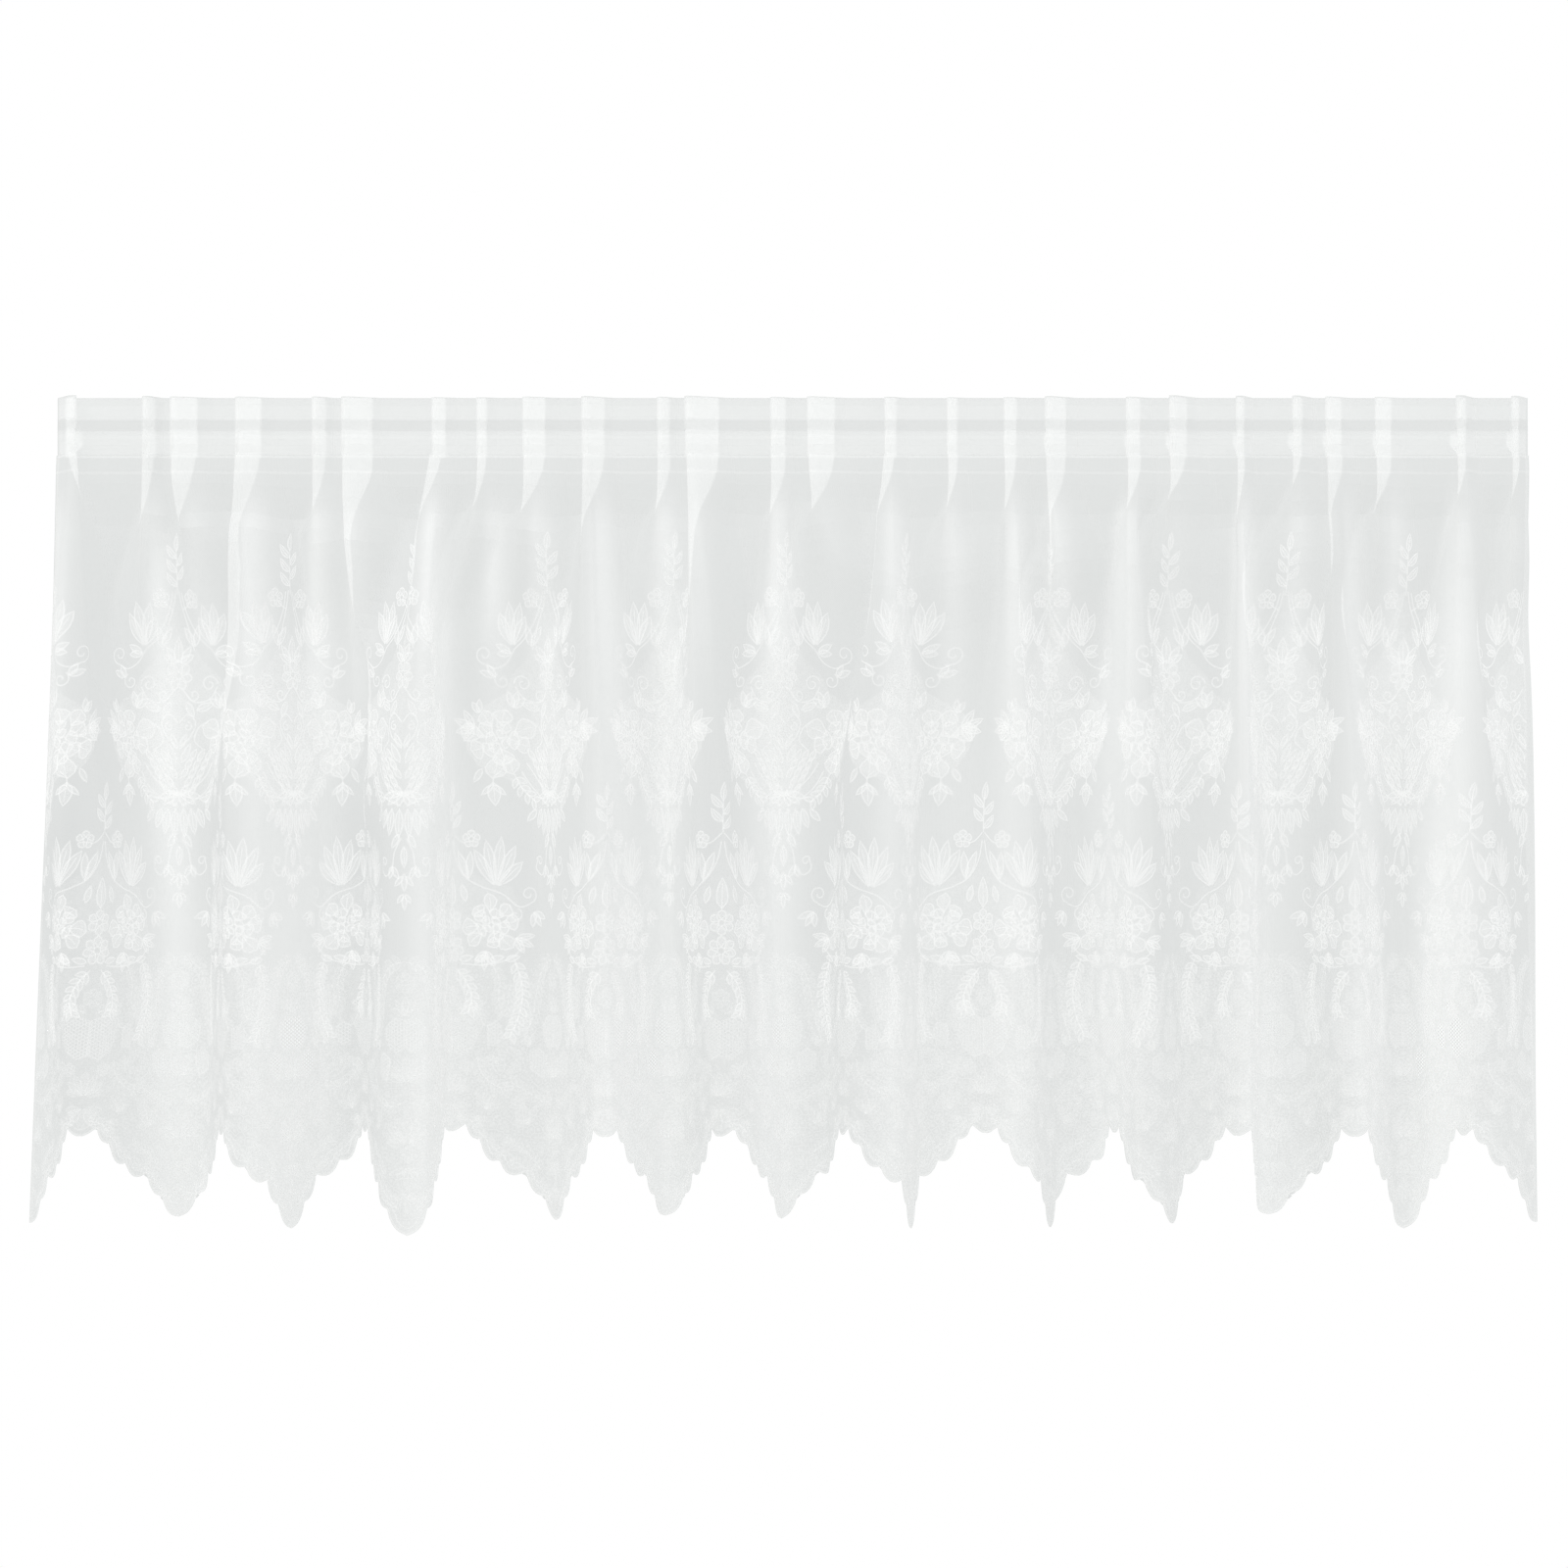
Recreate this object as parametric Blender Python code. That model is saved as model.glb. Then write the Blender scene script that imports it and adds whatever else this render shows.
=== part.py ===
"""A short lace curtain, hanging in the folds that its gathered heading gives it.

The cloth is worked out flat first: `along` runs from the left edge to the right one, and
`drop` runs down from the top edge. At each drop the cloth's section, seen from above, is a
line whose direction is known at every point along it, so the folds keep the cloth's length.
Metres, +Z up, the front faces -Y, and the top edge's middle is the origin.
"""

import math

import bmesh
import bpy
import numpy as np

# the flat cloth
REPEAT = 0.166
REPEATS = 12
SIDE_MARGIN = 0.004
HEADING_DROP = 0.043
CLOTH_THICK = 0.001
PIECE_GAP = 0.0003

# the heading's turned-over cloth: two layers on top of each other, parted round the tunnel
LAYERS_THICK = 0.002
FRILL_DROP = 0.016
TUNNEL_HALF_DEPTH = 0.0055
TUNNEL_SLOPE = 0.0035
TUNNEL_SEAM = 0.0015
BACK_GATHER = 0.30

# how the cloth turns in a fold, measured along it, and how steep its flanks may be
PLEAT_TURN = 0.004
HEM_TURN = 0.012
PLEAT_SLOPE = math.radians(84)
STEEPEST = math.radians(85)

# a short pleat's crest and turns spread by these shares of themselves as it opens
CREST_SPREAD = 2.0
TURN_SPREAD = 4.0

# the drops at which the long folds have their hem shape, and their crests their hem place
FOLDS_SETTLED = 0.36
CRESTS_SETTLED = 0.54

# each repeat's folds are made deeper or shallower, over a few rounds, until its width fits
SAMPLE_STEP = 0.0005
FIT_ROUNDS = 10
FIT_POWER = 0.6
SMALLEST_GAIN = 0.7
LARGEST_GAIN = 1.5

# The middle of each hem point, from the left edge to the right one.
# x_heading and x_hem: its place across, under the heading and at the hem; reach: its lowest drop
HEM_POINTS = (
    # x_heading, x_hem, reach
    (-0.5240, -0.5460, 0.5925),
    (-0.4418, -0.4439, 0.5904),
    (-0.3562, -0.3597, 0.5967),
    (-0.2684, -0.2734, 0.5988),
    (-0.1772, -0.1695, 0.5918),
    (-0.0825, -0.0916, 0.5904),
    (-0.0032, -0.0074, 0.5918),
    (0.0895, 0.0853, 0.5967),
    (0.1856, 0.1863, 0.5967),
    (0.2698, 0.2719, 0.5918),
    (0.3597, 0.3454, 0.5890),
    (0.4439, 0.4446, 0.6000),
    (0.5260, 0.5337, 0.5918),
)

# Heading pleats that open out on the way down.
# place: repeats from the left edge; cloth: what the pleat takes up; band: its crest, along
# the cloth; gone: the drop at which it has opened
SHORT_PLEATS = (
    # place, cloth, band, gone
    (0.15, 0.044, 0.015, 0.26),
    (1.18, 0.041, 0.017, 0.18),
    (2.19, 0.032, 0.006, 0.20),
    (2.61, 0.046, 0.017, 0.36),
    (3.50, 0.018, 0.006, 0.20),
    (3.87, 0.036, 0.016, 0.19),
    (4.85, 0.028, 0.006, 0.22),
    (5.88, 0.030, 0.008, 0.40),
    (6.29, 0.048, 0.015, 0.19),
    (7.22, 0.020, 0.006, 0.22),
    (8.02, 0.048, 0.013, 0.36),
    (9.00, 0.044, 0.012, 0.17),
    (10.00, 0.040, 0.007, 0.18),
    (10.80, 0.030, 0.010, 0.26),
    (11.86, 0.036, 0.006, 0.30),
)

# Heading pleats that run down into the folds between the hem points.
# hem_place: where the fold's crest meets the hem; left and right: the slope of each flank in
# degrees, with where the flank ends and starts, in repeats from the crest
LONG_FOLDS = (
    # place, cloth, band, hem_place, left_end, left_start, left_slope, right_start, right_end, right_slope
    (0.74, 0.040, 0.005, 0.56, 0.62, 0.16, 70, 0.12, 0.44, 48),
    (1.68, 0.040, 0.016, 1.69, 0.51, 0.10, 80, 0.12, 0.47, 62),
    (3.13, 0.024, 0.008, 2.95, 0.54, 0.13, 72, 0.12, 0.47, 78),
    (4.36, 0.043, 0.012, 4.50, 0.52, 0.06, 72, 0.06, 0.45, 70),
    (5.31, 0.058, 0.020, 5.56, 0.42, 0.10, 76, 0.11, 0.42, 77),
    (6.81, 0.026, 0.006, 6.61, 0.35, 0.11, 76, 0.24, 0.54, 77),
    (7.58, 0.024, 0.007, 7.64, 0.14, 0.04, 50, 0.14, 0.44, 84),
    (8.53, 0.030, 0.008, 8.87, 0.49, 0.10, 74, 0.10, 0.31, 66),
    (9.49, 0.028, 0.006, 9.54, 0.22, 0.04, 54, 0.04, 0.36, 82),
    (10.40, 0.034, 0.010, 10.50, 0.28, 0.07, 70, 0.08, 0.42, 70),
    (11.35, 0.044, 0.008, 11.63, 0.52, 0.11, 76, 0.14, 0.39, 66),
)

# The hem's scallops, from the middle of a valley to the tip of the next point.
# width: along the flat cloth; reach: the drop at its far cusp; belly: how far it bulges down
SCALLOPS = (
    # width, reach, belly
    (0.0116, 0.5225, 0.0015),
    (0.0103, 0.5335, 0.0050),
    (0.0140, 0.5490, 0.0080),
    (0.0190, 0.5580, 0.0070),
    (0.0135, 0.5760, 0.0070),
    (0.0149, 0.5930, 0.0060),
)
VALLEY_DROP = 0.5280
BELLY_LEAN = 0.7

# the mesh: the panel's rows as shares of its length, points to a scallop, and the share of
# a pleat's crest and turn at which the heading has its points
ROW_DROPS = (0.0, 0.14, 0.31, 0.50, 0.72, 0.93)
SCALLOP_STEPS = 2
HEM_STEPS = 4
ROW_LEVELS = 4
CREST_POINT = 0.35
EDGE_POINT = 0.001
TURN_POINT = 0.6


def ease(value):
    """Run smoothly from 0 to 1 as the value does, and stay there outside it."""
    t = min(1.0, max(0.0, value))
    return t * t * (3 - 2 * t)


def mix(start, end, share):
    return start + (end - start) * share


def clear_scene():
    for thing in list(bpy.data.objects):
        bpy.data.objects.remove(thing, do_unlink=True)


def cloth_material(name, colour):
    material = bpy.data.materials.new(name)
    material.use_nodes = True
    shader = material.node_tree.nodes["Principled BSDF"]
    shader.inputs["Base Color"].default_value = colour
    shader.inputs["Roughness"].default_value = 0.9
    shader.inputs["Metallic"].default_value = 0.0
    return material


def fold_slope(away, flank, turn):
    """Direction of the cloth across one fold: out along its left flank, back along its right."""
    left_end, left_start, left_slope, right_start, right_end, right_slope = flank
    places = (-left_end - turn, -left_end, -left_start, right_start, right_end, right_end + turn)
    slopes = (0.0, -left_slope, -left_slope, right_slope, right_slope, 0.0)
    return np.interp(away, places, slopes)


def pleat_flank(cloth, band, gain):
    """Both flanks of a heading pleat: its round crest, then two walls that hold its cloth."""
    start = (band + PLEAT_TURN) / 2
    wall = gain * (cloth - PLEAT_TURN) / 2
    return start, start + wall


def section_slope(along, drop, gain):
    """Direction of the cloth at each place along it, at one drop, in radians from +X."""
    settled = ease(drop / FOLDS_SETTLED)
    slope = np.zeros_like(along)
    for place, cloth, band, gone in SHORT_PLEATS:
        opened = ease(drop / gone)
        near = np.interp(place, np.arange(REPEATS) + 0.5, gain)
        crest_band = band * (1 + CREST_SPREAD * opened)
        start, end = pleat_flank(cloth, crest_band, mix(near, 1.0, settled))
        height = PLEAT_SLOPE * (1 - opened)
        flank = (end, start, height, start, end, height)
        turn = PLEAT_TURN * (1 + TURN_SPREAD * opened)
        slope += fold_slope(along - place * REPEAT, flank, turn)
    for row in LONG_FOLDS:
        place, cloth, band, hem_place = row[:4]
        near = np.interp(mix(place, hem_place, settled), np.arange(REPEATS) + 0.5, gain)
        start, end = pleat_flank(cloth, band, near)
        top = (end, start, PLEAT_SLOPE, start, end, PLEAT_SLOPE)
        hem = (row[4] * REPEAT, row[5] * REPEAT, math.radians(row[6]) * near,
               row[7] * REPEAT, row[8] * REPEAT, math.radians(row[9]) * near)
        flank = [mix(a, b, settled) for a, b in zip(top, hem)]
        crest = mix(place, hem_place, min(1.0, drop / CRESTS_SETTLED)) * REPEAT
        slope += fold_slope(along - crest, flank, mix(PLEAT_TURN, HEM_TURN, settled))
    return np.clip(slope, -STEEPEST, STEEPEST)


def run_along(values):
    """Add the values up along the cloth, half a step at a time."""
    return np.concatenate([[0.0], np.cumsum((values[1:] + values[:-1]) / 2)]) * SAMPLE_STEP


def section(drop):
    """The cloth's section at one drop: places along it, and their x and y."""
    along = np.arange(-SIDE_MARGIN, REPEATS * REPEAT + SIDE_MARGIN + SAMPLE_STEP / 2, SAMPLE_STEP)
    points = np.arange(REPEATS + 1) * REPEAT
    share = drop / HEM_POINTS[0][2]
    wanted = np.array([mix(row[0], row[1], share) for row in HEM_POINTS])
    taken_up = REPEAT - np.diff(wanted)
    gain = np.ones(REPEATS)
    for _ in range(FIT_ROUNDS):
        slope = section_slope(along, drop, gain)
        x = run_along(np.cos(slope))
        folded = REPEAT - np.diff(np.interp(points, along, x))
        gain *= (taken_up / folded) ** FIT_POWER
        gain = np.clip(gain, SMALLEST_GAIN, LARGEST_GAIN)
    slope = section_slope(along, drop, gain)
    x = run_along(np.cos(slope))
    x += np.interp(along, points, wanted - np.interp(points, along, x))
    y = run_along(np.sin(slope))
    return along, x, y - drift(y) * ease(drop / FOLDS_SETTLED)


def drift(y):
    """The section's mean place over a repeat, which is taken off so that it hangs plumb."""
    window = round(REPEAT / SAMPLE_STEP)
    half = window // 2
    padded = np.concatenate([2 * y[0] - y[half:0:-1], y, 2 * y[-1] - y[-2:-half - 2:-1]])
    sums = np.concatenate([[0.0], np.cumsum(padded)])
    means = (sums[2 * half:] - sums[:-2 * half]) / (2 * half)
    return means[:len(y)]


def scallop_places(steps):
    """Places along one half repeat, from valley to tip, with the hem's drop at each."""
    places = [(0.0, VALLEY_DROP)]
    start, last = 0.0, VALLEY_DROP
    for number, (width, reach, belly) in enumerate(SCALLOPS):
        for step in range(1, steps + 1):
            t = step / steps
            bulge = belly * math.sin(math.pi * t ** BELLY_LEAN)
            places.append((start + width * t, mix(last, reach, t) + bulge))
        start += width
        last = reach
    stretch = REPEAT / 2 / start
    return [(place * stretch, reach) for place, reach in places]


def hem_line(steps):
    """The whole hem: places along the cloth, with the drop of its edge at each."""
    half = scallop_places(steps)
    mean_reach = SCALLOPS[-1][1]
    line = [(-SIDE_MARGIN, HEM_POINTS[0][2])]
    for number in range(REPEATS):
        middle = (number + 0.5) * REPEAT
        for side, tip in ((-1, HEM_POINTS[number][2]), (1, HEM_POINTS[number + 1][2])):
            run = []
            for place, reach in half:
                lower = (tip - mean_reach) * (place / (REPEAT / 2)) ** 2
                run.append((middle + side * place, reach + lower))
            line += run[:0:-1] if side < 0 else run[:-1]
    line.append((REPEATS * REPEAT, HEM_POINTS[-1][2]))
    line.append((REPEATS * REPEAT + SIDE_MARGIN, HEM_POINTS[-1][2]))
    return line


def offset(x, y, distance):
    """Shift a section's points sideways, square to its own line; +Y on a straight run."""
    dx, dy = np.gradient(x), np.gradient(y)
    length = np.maximum(np.hypot(dx, dy), 1e-9)
    return x - dy / length * distance, y + dx / length * distance


def read_section(places, drop, distance):
    """The section's points at the given places along it, shifted by a distance."""
    along, x, y = section(drop)
    x, y = offset(x, y, distance)
    return np.interp(places, along, x), np.interp(places, along, y)


def make_object(name, mesh_data, material):
    """Build an object from a bmesh, with its triangles cut and its faces turned outwards."""
    bmesh.ops.triangulate(mesh_data, faces=mesh_data.faces[:])
    bmesh.ops.recalc_face_normals(mesh_data, faces=mesh_data.faces[:])
    mesh = bpy.data.meshes.new(name)
    mesh_data.to_mesh(mesh)
    mesh_data.free()
    mesh.shade_smooth()
    mesh.set_sharp_from_angle(angle=math.radians(50))
    mesh.materials.append(material)
    thing = bpy.data.objects.new(name, mesh)
    bpy.context.scene.collection.objects.link(thing)
    return thing


def panel_side(places, fine_places, mesh_data, side):
    """One face of the panel as rows of points, the last row on the scalloped edge."""
    rows = []
    shift = side * CLOTH_THICK / 2
    top = HEADING_DROP + PIECE_GAP
    reach = np.array([row[1] for row in places])
    along = np.array([row[0] for row in places])
    for share in ROW_DROPS:
        drops = mix(top, reach, share)
        rows.append(hang_row(along, drops, shift, mesh_data))
    along = np.array([row[0] for row in fine_places])
    reach = np.array([row[1] for row in fine_places])
    rows.append(hang_row(along, reach, shift, mesh_data))
    return rows


def hang_row(along, drops, shift, mesh_data):
    """Hang one row of points, each at its own drop, read between the sections near it."""
    levels = np.linspace(drops.min() - SAMPLE_STEP, drops.max() + SAMPLE_STEP, ROW_LEVELS)
    curves = [read_section(along, level, shift) for level in levels]
    x = read_between([curve[0] for curve in curves], levels, drops)
    y = read_between([curve[1] for curve in curves], levels, drops)
    return [mesh_data.verts.new((x[i], y[i], -drops[i])) for i in range(len(along))]


def read_between(values, levels, drops):
    """For each point, read its value at its own drop from the values at a few levels."""
    table = np.array(values)
    return [np.interp(drops[i], levels, table[:, i]) for i in range(len(drops))]


def strip_faces(mesh_data, upper, lower):
    """Join two rows by faces; the lower row may have several points to each upper one."""
    ratio = (len(lower) - 1) // (len(upper) - 1)
    for i in range(len(upper) - 1):
        below = lower[i * ratio:(i + 1) * ratio + 1]
        mesh_data.faces.new([upper[i], upper[i + 1]] + below[::-1])


def lace_panel(material):
    """The hanging cloth, one sheet from under the heading to its scalloped hem."""
    mesh_data = bmesh.new()
    places = hem_line(SCALLOP_STEPS)
    fine_places = split_margins(hem_line(HEM_STEPS))
    sides = [panel_side(places, fine_places, mesh_data, side) for side in (-1, 1)]
    for rows in sides:
        for upper, lower in zip(rows, rows[1:]):
            strip_faces(mesh_data, upper, lower)
    front, back = sides
    strip_faces(mesh_data, front[0], back[0])
    strip_faces(mesh_data, front[-1], back[-1])
    for end in (0, -1):
        for i in range(len(front) - 1):
            ring = [front[i][end], back[i][end], back[i + 1][end], front[i + 1][end]]
            mesh_data.faces.new(ring)
    return make_object("lace_panel", mesh_data, material)


def split_margins(line):
    """Give the two side margins as many fine points as the other stretches of the hem."""
    parts = HEM_STEPS // SCALLOP_STEPS
    shares = [step / parts for step in range(1, parts)]
    left = [pair_mix(line[0], line[1], share) for share in shares]
    right = [pair_mix(line[-2], line[-1], share) for share in shares]
    return line[:1] + left + line[1:-1] + right + line[-1:]


def pair_mix(start, end, share):
    return mix(start[0], end[0], share), mix(start[1], end[1], share)


def pleat_places():
    """Places along the cloth where the heading's section needs its points."""
    places = [-SIDE_MARGIN, REPEATS * REPEAT + SIDE_MARGIN]
    pleats = [row[:3] for row in SHORT_PLEATS] + [row[:3] for row in LONG_FOLDS]
    for place, cloth, band in pleats:
        start, end = pleat_flank(cloth, band, 1.0)
        for away in (start * CREST_POINT, start + EDGE_POINT, end + PLEAT_TURN * TURN_POINT):
            places += [place * REPEAT - away, place * REPEAT + away]
    return np.array(sorted(places))


def heading_row(places, row, mesh_data):
    """One line of the heading's points along its whole width."""
    drop, curve, distance = row
    along, x, y = section(HEADING_DROP / 2)
    gathered = np.minimum(y, 0.0)
    if curve == "tunnel_front":
        y = gathered - TUNNEL_HALF_DEPTH
    if curve == "tunnel_back":
        y = TUNNEL_HALF_DEPTH - gathered * BACK_GATHER
    x, y = offset(x, y, distance)
    x, y = np.interp(places, along, x), np.interp(places, along, y)
    return [mesh_data.verts.new((x[i], y[i], -drop)) for i in range(len(places))]


def heading_rows():
    """The heading's cross-section as two loops of lines: its outside, and the tunnel's inside."""
    half = LAYERS_THICK / 2
    wall = CLOTH_THICK
    high, low = FRILL_DROP + TUNNEL_SLOPE, HEADING_DROP - TUNNEL_SLOPE
    outside = (
        # drop, curve, distance
        (HEADING_DROP, "cloth", -half),
        (low, "tunnel_front", -wall),
        (high, "tunnel_front", -wall),
        (FRILL_DROP, "cloth", -half),
        (0.0, "cloth", -half),
        (0.0, "cloth", half),
        (FRILL_DROP, "cloth", half),
        (high, "tunnel_back", wall),
        (low, "tunnel_back", wall),
        (HEADING_DROP, "cloth", half),
    )
    inside = (
        (HEADING_DROP - TUNNEL_SEAM, "cloth", 0.0),
        (low - wall, "tunnel_front", 0.0),
        (high + wall, "tunnel_front", 0.0),
        (FRILL_DROP + TUNNEL_SEAM, "cloth", 0.0),
        (high + wall, "tunnel_back", 0.0),
        (low - wall, "tunnel_back", 0.0),
    )
    return outside, inside


def heading(material):
    """The turned-over top: a frill of two layers, and the open tunnel for a rod under it."""
    mesh_data = bmesh.new()
    places = pleat_places()
    outside, inside = heading_rows()
    outer = [heading_row(places, row, mesh_data) for row in outside]
    inner = [heading_row(places, row, mesh_data) for row in inside]
    for loop in (outer, inner):
        for i, row in enumerate(loop):
            strip_faces(mesh_data, row, loop[(i + 1) % len(loop)])
    for end in (0, -1):
        close_end(mesh_data, [row[end] for row in outer], [row[end] for row in inner])
    return make_object("heading", mesh_data, material)


def close_end(mesh_data, outer, inner):
    """Close the cloth's cut edge at one side, leaving the tunnel's mouth open."""
    front_wall = ((0, 0), (1, 1), (2, 2), (3, 3))
    back_wall = ((6, 3), (7, 4), (8, 5), (9, 0))
    for wall in (front_wall, back_wall):
        for (out_a, in_a), (out_b, in_b) in zip(wall, wall[1:]):
            mesh_data.faces.new([outer[out_a], outer[out_b], inner[in_b], inner[in_a]])
    mesh_data.faces.new(outer[3:7] + [inner[3]])
    mesh_data.faces.new([outer[9], outer[0], inner[0]])


def build():
    clear_scene()
    lace_panel(cloth_material("lace", (0.86, 0.87, 0.86, 1.0)))
    heading(cloth_material("heading_cloth", (0.90, 0.91, 0.90, 1.0)))


build()
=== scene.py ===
import math
import bpy
import numpy as np
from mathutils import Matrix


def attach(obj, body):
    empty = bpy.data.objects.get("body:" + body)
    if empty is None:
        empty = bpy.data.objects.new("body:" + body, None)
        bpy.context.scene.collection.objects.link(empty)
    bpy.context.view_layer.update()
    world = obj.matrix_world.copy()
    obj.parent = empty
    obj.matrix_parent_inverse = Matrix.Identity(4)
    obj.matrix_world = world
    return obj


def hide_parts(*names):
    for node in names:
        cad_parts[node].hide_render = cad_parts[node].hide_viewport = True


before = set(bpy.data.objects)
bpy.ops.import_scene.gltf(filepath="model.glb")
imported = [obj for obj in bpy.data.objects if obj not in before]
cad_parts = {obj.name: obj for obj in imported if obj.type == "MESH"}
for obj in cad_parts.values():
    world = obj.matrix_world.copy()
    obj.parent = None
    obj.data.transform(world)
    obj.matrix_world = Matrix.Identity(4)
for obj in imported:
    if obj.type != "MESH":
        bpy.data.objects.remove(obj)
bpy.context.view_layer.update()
scene = bpy.context.scene

# The lace is drawn flat and then hung. A flat place is (along, drop): metres to the right of the
# first hem point, and metres down from the top edge. Motifs are drawn in millimetres.
cloth = {
    "repeat": 0.166,
    "repeats": 12,
    "sideMargin": 0.004,
    "headingDrop": 0.043,
    "frillDrop": 0.016,
    "tuckedIn": 0.0015,             # the lace goes up between the heading's two layers
}
clothWidth = cloth["repeat"] * cloth["repeats"]
leftEdge, rightEdge = -cloth["sideMargin"], clothWidth + cloth["sideMargin"]
mm = 0.001


def mix(start, end, share):
    return start + (end - start) * share


def ease(value):
    t = min(1.0, max(0.0, value))
    return t * t * (3 - 2 * t)


# folds: as in the solids, but pleats lie over to one side, and some folds' lower ends have moved
foldSizes = {
    "pleatTurn": 0.004,
    "hemTurn": 0.020,
    "steepest": math.radians(150),
    "upright": math.radians(84),
    "overUntil": 0.06,              # drops between which pleats stop lying back over themselves
    "overGone": 0.14,
    "creaseWidth": 0.004,           # crest of a pleat that lies over
    "leanShare": 1.15,              # how wide a pleat looks, against its crest in the table
    "leanGone": 0.055,              # how far under the heading a pleat stands up again
    "softSlope": math.radians(62),
    "crispPower": 1.6,
    "crestSpread": 2.0,
    "turnSpread": 4.0,
    "foldsSettled": 0.30,           # drop at which the long folds have their hem shape
    "crestsSettled": 0.54,
    "step": 0.0005,
    "fitRounds": 10,
    "fitPower": 0.6,
    "leastGain": 0.7,
    "mostGain": 1.5,
}

# x under the heading, x at the hem, lowest drop
hemPoints = [
    (-0.5240, -0.5460, 0.5925),
    (-0.4418, -0.4439, 0.5904),
    (-0.3562, -0.3597, 0.5967),
    (-0.2684, -0.2734, 0.5988),
    (-0.1772, -0.1695, 0.5918),
    (-0.0825, -0.0916, 0.5904),
    (-0.0032, -0.0074, 0.5918),
    (0.0895, 0.0853, 0.5967),
    (0.1856, 0.1863, 0.5967),
    (0.2698, 0.2719, 0.5918),
    (0.3597, 0.3454, 0.5890),
    (0.4439, 0.4446, 0.6000),
    (0.5260, 0.5337, 0.5918),
]

# place in repeats, cloth taken up, width of the crest, drop at which it has opened, and the way that
# it lies: 1 to the left
shortPleats = [
    (0.80, 0.040, 0.005, 0.26, 1),
    (1.19, 0.041, 0.017, 0.18, 1),
    (2.215, 0.032, 0.006, 0.20, 1),
    (2.615, 0.046, 0.017, 0.36, 1),
    (3.48, 0.018, 0.006, 0.20, 1),
    (3.86, 0.036, 0.016, 0.19, 1),
    (4.89, 0.028, 0.006, 0.22, 1),
    (5.905, 0.030, 0.008, 0.40, 1),
    (6.325, 0.048, 0.015, 0.19, 1),
    (7.235, 0.020, 0.006, 0.22, 1),
    (8.01, 0.048, 0.013, 0.36, 1),
    (8.98, 0.044, 0.012, 0.17, 1),
    (10.015, 0.040, 0.007, 0.18, 1),
    (10.815, 0.030, 0.010, 0.26, 1),
    (11.87, 0.036, 0.006, 0.30, 1),
]

# place, cloth taken up, width of the crest, place at the hem, then the flanks there (left end, left
# start and left slope in degrees, right start, right end and right slope), and the way that it lies
longFolds = [
    (0.15, 0.044, 0.015, 0.56, 0.62, 0.16, 70, 0.12, 0.44, 48, -0.6),
    (1.71, 0.040, 0.016, 1.69, 0.51, 0.10, 80, 0.12, 0.47, 62, 1),
    (3.19, 0.024, 0.008, 3.10, 0.68, 0.28, 72, 0.06, 0.33, 78, 1),
    (4.37, 0.043, 0.012, 4.50, 0.52, 0.06, 72, 0.06, 0.45, 70, 1),
    (5.31, 0.058, 0.020, 5.56, 0.42, 0.10, 76, 0.11, 0.42, 77, 1),
    (6.845, 0.026, 0.006, 6.80, 0.54, 0.30, 76, 0.08, 0.36, 77, 1),
    (7.61, 0.024, 0.007, 7.64, 0.14, 0.04, 50, 0.14, 0.44, 84, 1),
    (8.545, 0.030, 0.008, 8.87, 0.49, 0.10, 74, 0.10, 0.31, 66, 1),
    (9.515, 0.028, 0.006, 9.54, 0.22, 0.04, 54, 0.04, 0.36, 82, 1),
    (10.40, 0.034, 0.010, 10.50, 0.28, 0.07, 70, 0.08, 0.42, 70, 1),
    (11.37, 0.044, 0.008, 11.63, 0.52, 0.11, 76, 0.14, 0.39, 66, 1),
]


def foldSlope(away, flank, turn):
    leftEnd, leftStart, leftSlope, rightStart, rightEnd, rightSlope = flank
    places = (-leftEnd - turn, -leftEnd, -leftStart, rightStart, rightEnd, rightEnd + turn)
    share = np.interp(away, places, (0.0, -1.0, -1.0, 1.0, 1.0, 0.0))
    size = np.abs(share)
    return share * size * (3 - 2 * size) * np.where(share < 0, leftSlope, rightSlope)


def pleatFlank(taken, crest, gain, spread, leaning, drop):
    # the crest is a tight crease at the top and as wide as the solid's once the pleat has opened
    end = (crest + foldSizes["pleatTurn"] + gain * (taken - foldSizes["pleatTurn"])) / 2
    start = (mix(foldSizes["creaseWidth"], crest, spread) + foldSizes["pleatTurn"]) / 2
    seen = abs(leaning) * crest * foldSizes["leanShare"] / max(end - start, 0.001)
    fall = ease((drop - cloth["headingDrop"]) / foldSizes["leanGone"])
    lean = math.asin(min(0.9, seen))
    crisp = math.pi / 2 + lean * (1 - fall)
    soft = mix(math.pi / 2 - lean, foldSizes["softSlope"], fall * min(1.0, abs(leaning)))
    # the steeper side is the shorter, so that the cloth comes back to where it was
    whole = 2 * (end - start)
    shortSide = whole * math.sin(soft) / (math.sin(crisp) + math.sin(soft))
    if leaning >= 0:
        return [start + shortSide, start, crisp, start, start + whole - shortSide, soft]
    return [start + whole - shortSide, start, soft, start, start + shortSide, crisp]


def crestPlace(row, drop):
    return mix(row[0], row[3], min(1.0, drop / foldSizes["crestsSettled"])) * cloth["repeat"]


def leanShift(crest, spread, leaning):
    # a pleat that lies over has its crest at one side of its band
    return crest * foldSizes["leanShare"] / 2 * (1 - spread) * leaning


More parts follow.
